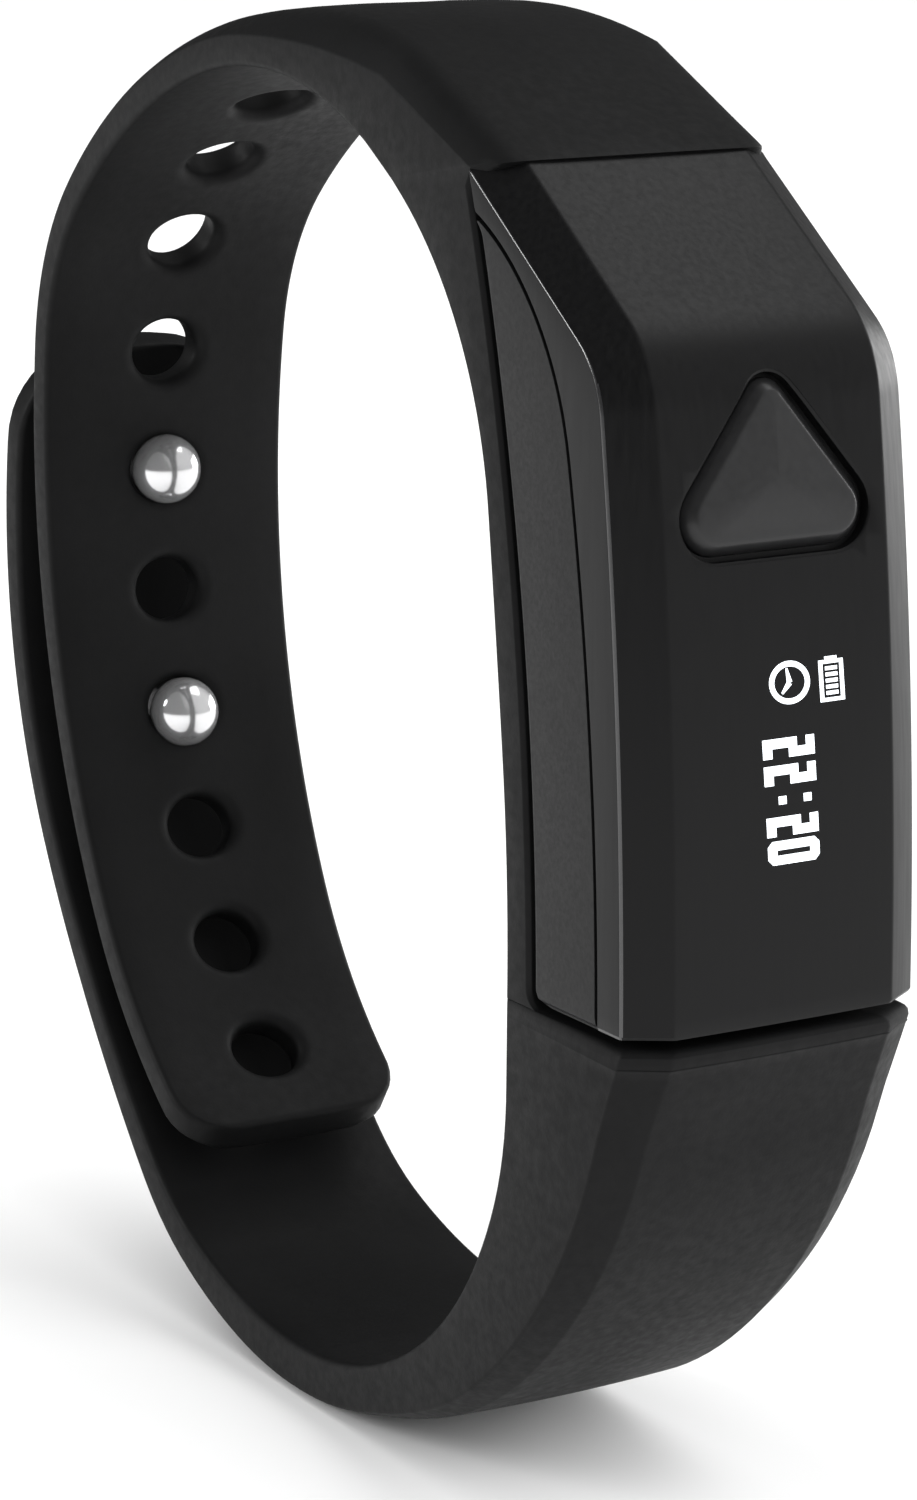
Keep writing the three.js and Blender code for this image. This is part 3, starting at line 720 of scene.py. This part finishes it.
def case_body():
    """The rear shell as a solid, from level rings of (height, inset): its low end is rounded."""
    line = parting.parallel(-SPLIT_GAP / 2)
    cover_line = parting.parallel(SPLIT_GAP / 2)
    top = case_top(line)
    bend = min(top - 0.2, LEVEL_TOP)
    heights = [level[0] for level in pod_levels()[1:] if level[0] < bend]
    heights += list(np.linspace(bend + 0.1, top, 20))
    rings = []
    for z, inset in [(0.0, 0.8), (0.1, 0.3), (0.3, 0.08), (0.7, 0.0)] + [(z, 0) for z in heights]:
        x_part = line.x_at(z)
        x_rear = min(rear_edge.x_at(z) + inset * 1.4, x_part - 0.3)
        half = POD_WIDTH / 2 - min(inset, 0.25)
        side = fillet([(-half, x_part), (-half, x_rear), (0, x_rear)], (0.6,), (6,))
        ring = side[:-1] + [(y, x_rear) for y in (-6, -3, 0)]
        ring += [(-y, x) for y, x in reversed(ring[:-1])]
        reach = half - TONGUE_INSET
        tongue = max(x_part + TONGUE_GAP, cover_line.x_at(z) - TONGUE_GAP)
        ring += [(reach, x_part), (reach, tongue), (-reach, tongue), (-reach, x_part)]
        rings.append([(x, y, z) for y, x in ring])
    return loft(rings)


def cavity_body():
    """The hollow that the two shells share; its low end stays clear of the rounded rear edge."""
    front = front_edge.parallel(-WALL / 2)
    face = front_edge.parallel(CHAMFER_RISE - WALL)
    half, face_half, rear_wall = POD_WIDTH / 2 - WALL, FACE_WIDTH / 2 - WALL, 1.1
    rings = []
    for z in [CAVITY[0], 8, 16, 24, 33] + list(np.linspace(33.6, 37.4, 8)) + [CAVITY[1]]:
        x_rear = rear_edge.x_at(z) + rear_wall * (2 if z == CAVITY[0] else 1)
        xs = [(x_rear, half), (front.x_at(z), half), (face.x_at(z), face_half)]
        rings.append([(x, -y, z) for x, y in xs] + [(x, y, z) for x, y in reversed(xs)])
    return loft(rings)


# ---- button
tilt = radians(BUTTON_TILT)
button_out = (cos(tilt), sin(tilt))
button_up = (-sin(tilt), cos(tilt))
button_origin = (face_edge.x_at(BUTTON_Z), BUTTON_Z)


def button_outline(inset, steps=12, sides=8):
    """A triangle with round corners, shrunk by inset: points (y, up) around it."""
    half, up, radius = BUTTON_BASE
    apex_up, apex_radius = BUTTON_APEX
    lean = degrees(atan2(apex_up - up, half))
    spread = degrees(acos((radius - apex_radius) / hypot(half, apex_up - up)))
    side = 180 - lean - spread
    corners = [(half, up, radius, -90, side), (0, apex_up, apex_radius, side, 180 - side),
               (-half, up, radius, 180 - side, 270)]
    points = []
    for y, u, r, start, stop in corners:
        for i in range(steps + 1):
            a = radians(mix(start, stop, i / steps))
            points.append((y + (r - inset) * cos(a), u + (r - inset) * sin(a)))
    filled = []
    for i, p in enumerate(points):
        q = points[(i + 1) % len(points)]
        filled.append(p)
        if i % (steps + 1) == steps:
            filled += [tuple(mix(a, b, k / sides) for a, b in zip(p, q)) for k in range(1, sides)]
    return filled


def on_button(y, up, height):
    """The point at height over the button's plane."""
    x = button_origin[0] + button_up[0] * up + button_out[0] * height
    z = button_origin[1] + button_up[1] * up + button_out[1] * height
    return x, y, z


def face_drop(up):
    """How far the pod's face lies below the button's plane at up."""
    height = 0.0
    for _ in range(12):
        x, _, z = on_button(0, up, height)
        height += face_edge.x_at(z) - x
    return height


def button_ring(inset, height, follow=False):
    """The outline at height over the button's plane, or over the pod's face with follow."""
    ring = []
    for y, up in button_outline(inset):
        drop = face_drop(up) if follow else 0
        ring.append(on_button(y, up, drop + height))
    return ring


def button_cap():
    """Rings of the cap: a sloped skirt, a rounded shoulder and a softly domed top."""
    skirt = ((BUTTON_GAP, -1.7), (BUTTON_GAP, -0.62), (0.34, -0.5), (0.6, -0.2), (0.82, 0.08),
             (0.9, 0.16), (0.98, 0.21), (1.1, 0.235), (1.35, 0.25))
    rings = [button_ring(inset, height) for inset, height in skirt]
    core = button_outline(skirt[-1][0])
    middle = sum(u for _, u in core) / len(core)
    for t in (0.85, 0.7, 0.5, 0.3, 0.15, 0.05):
        height = skirt[-1][1] + BUTTON_DOME * (1 - t ** 1.6)
        rings.append([on_button(y * t, mix(middle, u, t), height) for y, u in core])
    return rings


def recess_body():
    """What the button's recess takes out of the cover: a ledge below, a rounded mouth above."""
    wall = ((LEDGE_INSET, -LEDGE_DEPTH), (0, 0.01 - LEDGE_DEPTH), (0, -0.3), (0, -0.16),
            (-0.03, -0.05), (-0.1, 0.01), (-0.2, 0.05))
    rings = [button_ring(inset, height, follow=True) for inset, height in wall]
    return loft([button_ring(LEDGE_INSET, -4)] + rings + [button_ring(-0.2, 3)])


def cut(piece, cutter):
    """Takes cutter's shape out of piece and removes cutter."""
    modifier = piece.modifiers.new("cut", "BOOLEAN")
    modifier.operation = "DIFFERENCE"
    modifier.solver = "EXACT"
    modifier.object = cutter
    bpy.context.view_layer.update()
    graph = bpy.context.evaluated_depsgraph_get()
    mesh = bpy.data.meshes.new_from_object(piece.evaluated_get(graph))
    piece.modifiers.clear()
    piece.data = mesh
    bpy.data.objects.remove(cutter)


def build_cover():
    cover = make_object("pod_cover", *cover_body())
    cut(cover, make_object("cutter", *cavity_body()))
    cut(cover, make_object("cutter", *recess_body()))
    tidy_mesh(cover.data, 28)
    return cover


def polish_and_highlight_edges(cover):
    """Gives the rounded edge between each side and its chamfer the polished material: glossier, and
    lighter in colour as a painted highlight along the edge.
    """
    cover.data.materials.append(POLISHED_WITH_HIGHLIGHT)
    for face in cover.data.polygons:
        outside = abs(face.center.y) > (POD_WIDTH / 2 - 0.4) * MM
        between_side_and_chamfer = 0.62 < abs(face.normal.y) < 0.985
        if outside and between_side_and_chamfer:
            face.material_index = 1


def build_case():
    case = make_object("pod_case", *case_body())
    cut(case, make_object("cutter", *cavity_body()))
    through = (-13, -6)
    for i in range(4):
        low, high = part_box(f"charging_pin_{i + 1}")
        y = (low.y + high.y) / 2 / MM
        z = (low.z + high.z) / 2 / MM - SHIFT_Z
        ring = [(y + PIN_HOLE_R * cos(a), z + PIN_HOLE_R * sin(a))
                for a in np.linspace(0, 2 * pi, 25)[:-1]]
        drill = loft([[(x, p, q) for p, q in ring] for x in through])
        cut(case, make_object("cutter", *drill))
    tidy_mesh(case.data, 28)
    return case


# ---- studs
def build_stud(name, k):
    """A stud: a neck from just inside the clasp end's outer face and a ball head."""
    _, x0, z0, reach = stud_base(k)
    centre = reach + STRAP_T / 2 + HEAD_PROUD
    neck_end = centre - 1.72
    profile = [(NECK_R, 0.05 - STRAP_T), (NECK_R, neck_end)]
    for angle in np.linspace(-54, 86, 22):
        a = radians(angle)
        profile.append((HEAD_R * cos(a), centre + HEAD_R * sin(a)))
    sides = 48
    rings = []
    for r, t in profile:
        ring = []
        for i in range(sides):
            a = 2 * pi * i / sides
            across, y = r * cos(a), r * sin(a)
            ring.append((x0 + stud_in[0] * t - stud_in[1] * across, y,
                         z0 + stud_in[1] * t + stud_in[0] * across))
        rings.append(ring)
    return make_object(name, *loft(rings), sharp=40)


# ---- display signs
DIGIT_LEFT = -1.47  # y of the digits' edge on the left, seen from the front
DIGIT_TOP = 15.81  # z of the highest digit's upper edge
DIGIT_HEIGHT = 3.35
DIGIT_WIDTH = 1.06
ZERO_WIDTH = 1.3
DIGIT_STROKE = 0.54
DIGIT_PITCH = 1.46
DOT = (0.5, 0.44)
SIGN_LEAN = 0.045  # the display sits a little askew behind the cover
SIGN_DEPTH = (0.005, 0.03)  # a sign's plate stands this far off the face
CLOCK = (0.52, 18.76)  # y and z of its middle
BATTERY = (2.46, 17.46)  # y and z of its low corner
BATTERY_SIZE = (1.61, 2.26)
BATTERY_WALL = (0.25, 0.2)


def face_point(y, z, lift):
    """A point just off the pod's face."""
    y += SIGN_LEAN * (DIGIT_TOP - z)
    crown = FACE_CROWN * (1 - (2 * y / FACE_WIDTH) ** 2)
    return face_edge.x_at(z) + crown + lift, y, z


def plate(outline, hole=None):
    """Points and faces of a thin plate on the face, with a hole of as many points if given."""
    n = len(outline)
    loops = [outline] + ([hole] if hole else [])
    points = [face_point(y, z, lift) for lift in SIGN_DEPTH for loop in loops for y, z in loop]
    faces = []
    if hole:
        for j in range(n):
            k = (j + 1) % n
            for a, b in ((0, n), (2 * n, 3 * n), (0, 2 * n), (n, 3 * n)):
                faces.append((a + j, a + k, b + k, b + j))
    else:
        faces = [tuple(range(n)), tuple(range(n, 2 * n))]
        faces += [(j, (j + 1) % n, n + (j + 1) % n, n + j) for j in range(n)]
    return points, faces


def join_parts(name, parts):
    points, faces = [], []
    for part_points, part_faces in parts:
        faces += [tuple(i + len(points) for i in face) for face in part_faces]
        points += part_points
    return make_object(name, points, faces)


def digit_point(a, b, start):
    """A point of a digit, a along its height and b along its width."""
    return DIGIT_LEFT + a, DIGIT_TOP - start - b


def two(start):
    h, w, t = DIGIT_HEIGHT, DIGIT_WIDTH, DIGIT_STROKE
    middle = h / 2
    steps = [(0, 0), (h - 2.1 * t, 0), (h - 2.1 * t, w / 2), (h - t, w / 2), (h - t, 0), (h, 0),
             (h, w), (middle, w), (middle, w / 2), (1.1 * t, w / 2), (1.1 * t, w), (0, w)]
    return plate([digit_point(a, b, start) for a, b in steps])


def zero_outline(inset, corner, start):
    """A rectangle with cut corners, inset from the zero's outside."""
    a0, a1 = inset[0], DIGIT_HEIGHT - inset[0]
    b0, b1 = inset[1], ZERO_WIDTH - inset[1]
    spots = [(a0 + corner, b0), (a1 - corner, b0), (a1, b0 + corner), (a1, b1 - corner),
             (a1 - corner, b1), (a0 + corner, b1), (a0, b1 - corner), (a0, b0 + corner)]
    return [digit_point(a, b, start) for a, b in spots]


def zero(start):
    return plate(zero_outline((0, 0), 0.3, start), zero_outline((0.6, 0.5), 0.02, start))


def dot(a, start):
    square = ((0, 0), (DOT[0], 0), DOT, (0, DOT[1]))
    return plate([digit_point(a + p, q, start) for p, q in square])


def ellipse(radii, steps=40):
    return [(CLOCK[0] + radii[0] * cos(a), CLOCK[1] + radii[1] * sin(a))
            for a in np.linspace(0, 2 * pi, steps + 1)[:-1]]


def hand(tip, width=0.17, taper=0.35):
    """A clock hand from the hub, narrower at its tip."""
    length = hypot(*tip)
    across = (-tip[1] / length * width, tip[0] / length * width)
    spots = [(-across[0], -across[1]), (tip[0] - across[0] * taper, tip[1] - across[1] * taper),
             (tip[0] + across[0] * taper, tip[1] + across[1] * taper), across]
    return plate([(CLOCK[0] + y, CLOCK[1] + z) for y, z in spots])


def rectangle(y0, z0, width, height):
    corners = ((0, 0), (width, 0), (width, height), (0, height))
    return [(BATTERY[0] + y0 + y, BATTERY[1] + z0 + z) for y, z in corners]


def build_signs():
    digits = join_parts("display_digits", [
        two(0), two(DIGIT_PITCH), dot(0.85, 3.15), dot(2.48, 3.15), two(4.27), zero(5.58)])
    clock = [plate(ellipse((1.32, 1.17)), ellipse((1.0, 0.87))), hand((-0.15, 0.78)),
             hand((-0.52, -0.56))]
    width, height = BATTERY_SIZE
    side, end = BATTERY_WALL
    battery = [plate(rectangle(0, 0, width, height),
                     rectangle(side, end, width - 2 * side, height - 2 * end)),
               plate(rectangle(0.41, height + 0.01, 0.8, 0.17))]
    battery += [plate(rectangle(0.42, 0.36 + 0.335 * i, 0.78, 0.2)) for i in range(5)]
    return [digits, join_parts("display_clock", clock), join_parts("display_battery", battery)]


# ---- materials
class Nodes:
    """Small helper that wires a Principled material."""

    def __init__(self, name):
        self.material = bpy.data.materials.new(name)
        self.material.use_nodes = True
        self.tree = self.material.node_tree
        self.shader = self.tree.nodes["Principled BSDF"]
        coords = self.tree.nodes.new("ShaderNodeTexCoord")
        self.object_coords = coords.outputs["Object"]

    def set(self, **values):
        for key, value in values.items():
            self.shader.inputs[key.replace("_", " ")].default_value = value

    def link(self, output, target):
        self.tree.links.new(output, self.shader.inputs[target])

    def node(self, kind, inputs=(), **props):
        node = self.tree.nodes.new(kind)
        for key, value in props.items():
            setattr(node, key, value)
        for key, value in dict(inputs).items():
            if hasattr(value, "links"):
                self.tree.links.new(value, node.inputs[key])
            else:
                node.inputs[key].default_value = value
        return node

    def stretch(self, scale):
        node = self.node("ShaderNodeMapping", {"Vector": self.object_coords, "Scale": scale})
        return node.outputs["Vector"]

    def noise(self, scale, detail=3.0, vector=None, roughness=0.5):
        vector = vector or self.object_coords
        node = self.node("ShaderNodeTexNoise", {"Vector": vector, "Scale": scale,
                                                "Detail": detail, "Roughness": roughness})
        return node.outputs["Fac"]

    def range(self, value, low, high, to_low=0.0, to_high=1.0):
        node = self.node("ShaderNodeMapRange", {"Value": value, "From Min": low,
                                                "From Max": high, "To Min": to_low,
                                                "To Max": to_high})
        return node.outputs["Result"]

    def colours(self, factor, a, b):
        node = self.node("ShaderNodeMix", {"Factor": factor}, data_type="RGBA")
        node.inputs["A"].default_value = (*a, 1)
        node.inputs["B"].default_value = (*b, 1)
        self.link(node.outputs["Result"], "Base Color")

    def rough(self, value, low, high):
        self.link(self.range(value, 0.3, 0.7, low, high), "Roughness")

    def bump(self, height, strength, distance, normal=None):
        inputs = {"Height": height, "Strength": strength, "Distance": distance}
        if normal:
            inputs["Normal"] = normal
        return self.node("ShaderNodeBump", inputs).outputs["Normal"]


def silicone():
    n = Nodes("silicone_black")
    n.set(Specular_IOR_Level=0.14)
    cloud = n.noise(90, 4)
    grain = n.noise(5200, 2)
    fine = n.noise(1500, 3)
    n.colours(n.range(cloud, 0.35, 0.65), (0.0048, 0.0049, 0.005), (0.007, 0.0071, 0.0073))
    n.rough(fine, 0.5, 0.62)
    n.link(n.bump(grain, 0.35, 0.00002, n.bump(fine, 0.25, 0.00003)), "Normal")
    return n.material


def silicone_mould_line_and_highlight():
    """The thin line the mould leaves: drier than the rest and broken up, and paler, which along the
    rim corners is partly a painted highlight.
    """
    n = Nodes("silicone_mould_line_and_highlight")
    n.set(Specular_IOR_Level=0.3)
    broken = n.noise(700, 4, roughness=0.7)
    # Paler than the silicone: the mould's line, and along the rim corners a painted highlight.
    n.colours(n.range(broken, 0.42, 0.62), (0.009, 0.009, 0.0094), (0.075, 0.075, 0.078))
    n.rough(broken, 0.55, 0.75)
    n.link(n.bump(broken, 0.4, 0.00003), "Normal")
    return n.material


def cover_plastic():
    n = Nodes("cover_satin_black")
    n.set(Specular_IOR_Level=0.2)
    streak = n.noise(1.0, 3, n.stretch((3000, 3000, 160)))
    speck = n.noise(9000, 1)
    n.colours(n.range(streak, 0.3, 0.7), (0.003, 0.003, 0.0032), (0.004, 0.004, 0.0042))
    n.rough(streak, 0.33, 0.43)
    n.link(n.bump(speck, 0.15, 0.000008, n.bump(streak, 0.2, 0.00001)), "Normal")
    return n.material


def case_plastic():
    n = Nodes("case_matt_black")
    n.set(Specular_IOR_Level=0.18)
    fine = n.noise(3500, 3)
    cloud = n.noise(120, 2)
    n.colours(n.range(cloud, 0.35, 0.65), (0.007, 0.007, 0.0072), (0.009, 0.009, 0.0092))
    n.rough(fine, 0.42, 0.52)
    n.link(n.bump(fine, 0.3, 0.00002), "Normal")
    return n.material


def plain(name, a, b, roughness, scale=800, metallic=0.0, bump=0.1, depth=0.00001,
          specular=0.5):
    n = Nodes(name)
    n.set(Metallic=metallic, Specular_IOR_Level=specular)
    fine = n.noise(scale, 3)
    n.colours(n.range(fine, 0.3, 0.7), a, b)
    n.rough(fine, roughness * 0.9, roughness * 1.1)
    n.link(n.bump(fine, bump, depth), "Normal")
    return n.material


def glow():
    n = Nodes("display_glow")
    n.set(Base_Color=(0.9, 0.95, 1, 1), Emission_Color=(0.93, 0.97, 1, 1), Roughness=0.4)
    n.set(Emission_Strength=1.15)
    return n.material


SILICONE = silicone()
MOULD_LINE_AND_HIGHLIGHT = silicone_mould_line_and_highlight()
COVER = cover_plastic()
CASE = case_plastic()
BUTTON = plain("button_satin_black", (0.012, 0.012, 0.0125), (0.015, 0.015, 0.0155), 0.36, 2500,
               specular=0.4)
# Glossy polished edges, painted lighter than the shell as a highlight along them.
POLISHED_WITH_HIGHLIGHT = plain("cover_edge_gloss_and_highlight", (0.012, 0.012, 0.0125), (0.02, 0.02, 0.021), 0.24, 1500,
                 bump=0.03, specular=1.0)
GLOW = glow()
STEEL = plain("stud_steel", (0.78, 0.78, 0.79), (0.84, 0.84, 0.85), 0.16, 300, 0.82, 0.03)
COATED = plain("clasp_coating", (0.03, 0.03, 0.031), (0.045, 0.045, 0.047), 0.4, 2000, 0.6)
NODE_MATERIALS = {
    "clasp_plate": COATED,
    "case_seal": plain("seal_rubber", (0.008, 0.008, 0.008), (0.012, 0.012, 0.012), 0.75),
    "display_frame": plain("foam", (0.012, 0.012, 0.012), (0.03, 0.03, 0.03), 0.9, 4000),
    "button_switch": plain("switch_metal", (0.5, 0.5, 0.52), (0.62, 0.62, 0.64), 0.3, 600, 1.0),
    "display_panel": plain("display_glass", (0.006, 0.008, 0.013), (0.01, 0.012, 0.02), 0.12),
    "display_flex": plain("flex_film", (0.4, 0.17, 0.04), (0.5, 0.22, 0.06), 0.45),
    "display_connector": plain("ceramic", (0.62, 0.6, 0.53), (0.72, 0.7, 0.62), 0.5),
    "main_board": plain("board", (0.012, 0.13, 0.05), (0.025, 0.19, 0.07), 0.4, 500),
    "bluetooth_chip": plain("chip", (0.016, 0.016, 0.018), (0.026, 0.026, 0.028), 0.5, 3000),
    "battery": plain("battery_foil", (0.55, 0.56, 0.58), (0.66, 0.67, 0.69), 0.35, 400, 1.0),
    "battery_tape": plain("tape", (0.62, 0.48, 0.1), (0.74, 0.58, 0.15), 0.6, 900),
    "vibration_motor": plain("motor_steel", (0.6, 0.61, 0.63), (0.7, 0.71, 0.73), 0.28, 700, 1.0),
    "charging_pin_1": plain("contact_gold", (0.78, 0.55, 0.16), (0.86, 0.65, 0.24), 0.2, 900, 1.0),
}
SAME = {"button_seal": "case_seal", "chip_antenna": "display_connector",
        "motion_sensor": "bluetooth_chip", "power_chip": "bluetooth_chip",
        "board_screw_left": "vibration_motor", "board_screw_right": "vibration_motor",
        "charging_pin_2": "charging_pin_1", "charging_pin_3": "charging_pin_1",
        "charging_pin_4": "charging_pin_1"}


def paint(piece, material):
    piece.data.materials.clear()
    piece.data.materials.append(material)


def add_piece(piece, material, replaced, body=None):
    paint(piece, material)
    if replaced:
        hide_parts(*replaced)
    if body:
        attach(piece, body)


def blend_across(piece):
    """Bakes the piece's placement into its mesh."""
    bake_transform(piece)


band_upper = build_upper()
add_piece(band_upper, SILICONE, ["upper_strap", "cradle_strip", "strap_tail"])
# Second material: the mould's line, partly a painted highlight along the rim corners.
band_upper.data.materials.append(MOULD_LINE_AND_HIGHLIGHT)
blend_across(band_upper)

band_lower = build_lower()
add_piece(band_lower, SILICONE, ["lower_strap", "clasp_strap_end"])
# Second material: the mould's line, partly a painted highlight along the rim corners.
band_lower.data.materials.append(MOULD_LINE_AND_HIGHLIGHT)
blend_across(band_lower)

cover = build_cover()
add_piece(cover, COVER, ["top_cover"], "pod")
polish_and_highlight_edges(cover)
add_piece(build_case(), CASE, ["bottom_case"], "pod")
cap_rings = button_cap()
ring_faces = len(cap_rings[0])
# The cap's rounded shoulder also takes the polished material, with its painted highlight.
cap = make_object("button", *loft(cap_rings), sharp=50,
                  second=range(5 * ring_faces, 7 * ring_faces))  # its rounded shoulder
add_piece(cap, BUTTON, ["button_cap"], "button")
cap.data.materials.append(POLISHED_WITH_HIGHLIGHT)
for sign in build_signs():
    add_piece(sign, GLOW, [], "pod")
add_piece(build_stud("stud_low", STUD_HOLES[0]), STEEL, ["stud_lower"], "clasp")
add_piece(build_stud("stud_high", STUD_HOLES[1]), STEEL, ["stud_upper"], "clasp")

for node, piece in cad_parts.items():
    material = NODE_MATERIALS.get(SAME.get(node, node))
    if material:
        paint(piece, material)

# ---- stage, light and camera
low, high = cad_box
centre = (low + high) / 2
SOFT_WALL = (0.55, 0.6, 0.58)  # the direction to the studio's brightest side


def build_floor():
    size = 6.0
    mesh = bpy.data.meshes.new("floor")
    corners = [(-size, -size, 0), (size, -size, 0), (size, size, 0), (-size, size, 0)]
    mesh.from_pydata(corners, [], [(0, 1, 2, 3)])
    floor = add_object("floor", mesh)
    n = Nodes("floor_white")
    n.set(Base_Color=(0.9, 0.9, 0.9, 1), Roughness=0.9, Specular_IOR_Level=0.1)
    paint(floor, n.material)


def area_light(name, away, size, power):
    """A soft box at away from the object's middle, turned towards it."""
    data = bpy.data.lights.new(name, "AREA")
    data.shape = "RECTANGLE"
    data.size, data.size_y = size
    data.energy = power
    light = add_object(name, data)
    light.location = centre + Vector(away)
    light.rotation_euler = (-Vector(away)).to_track_quat("-Z", "Y").to_euler()


def direction(elevation, azimuth):
    e, a = radians(elevation), radians(azimuth)
    return Vector((cos(e) * cos(a), cos(e) * sin(a), sin(e)))


def sun_light(name, elevation, azimuth, strength, spread):
    """A soft sun that isn't mirrored."""
    data = bpy.data.lights.new(name, "SUN")
    data.energy = strength
    data.angle = radians(spread)
    light = add_object(name, data)
    light.rotation_euler = direction(elevation, azimuth).to_track_quat("Z", "Y").to_euler()
    light.visible_glossy = False


def build_world():
    """A dim studio round the object, brighter towards a large soft wall on one side."""
    world = bpy.data.worlds.new("studio")
    world.use_nodes = True
    tree = world.node_tree
    coords = tree.nodes.new("ShaderNodeTexCoord")
    facing = tree.nodes.new("ShaderNodeVectorMath")
    facing.operation = "DOT_PRODUCT"
    facing.inputs[1].default_value = SOFT_WALL
    brightness = tree.nodes.new("ShaderNodeMapRange")
    brightness.interpolation_type = "SMOOTHSTEP"
    for key, value in (("From Min", 0.35), ("From Max", 0.95), ("To Min", 0.12), ("To Max", 0.6)):
        brightness.inputs[key].default_value = value
    tree.links.new(coords.outputs["Generated"], facing.inputs[0])
    tree.links.new(facing.outputs["Value"], brightness.inputs["Value"])
    background = tree.nodes["Background"]
    background.inputs["Color"].default_value = (1, 1, 1, 1)
    tree.links.new(brightness.outputs["Result"], background.inputs["Strength"])
    scene.world = world


build_floor()
build_world()
scene.view_settings.view_transform = "Standard"
sun_light("overhead", 80, 40, 1.8, 150)
sun_light("front", 35, 5, 1.6, 60)
area_light("left", (-0.32, -0.7, 0.33), (0.2, 0.3), 3.0)
area_light("right", (-0.1, 0.9, 0.12), (0.6, 0.3), 3.0)
area_light("top", (0.0, 0.4, 0.8), (0.6, 0.4), 1.2)

CAMERA_AZIMUTH = -30.64
CAMERA_ELEVATION = 13.1
CAMERA_DISTANCE = 0.2797
CAMERA_AIM = Vector((0.0021, 0.0022, -0.0025))  # from the middle of the CAD box
CAMERA_LENS = 109.8
SENSOR_HEIGHT = 36

away = direction(CAMERA_ELEVATION, CAMERA_AZIMUTH)
camera_data = bpy.data.cameras.new("camera")
camera_data.lens = CAMERA_LENS
camera_data.sensor_fit = "VERTICAL"
camera_data.sensor_height = SENSOR_HEIGHT
camera_data.clip_start = 0.01
camera_data.clip_end = 50
camera = add_object("camera", camera_data)
camera.location = centre + CAMERA_AIM + away * CAMERA_DISTANCE
camera.rotation_euler = (-away).to_track_quat("-Z", "Y").to_euler()
scene.camera = camera

bpy.context.view_layer.update()
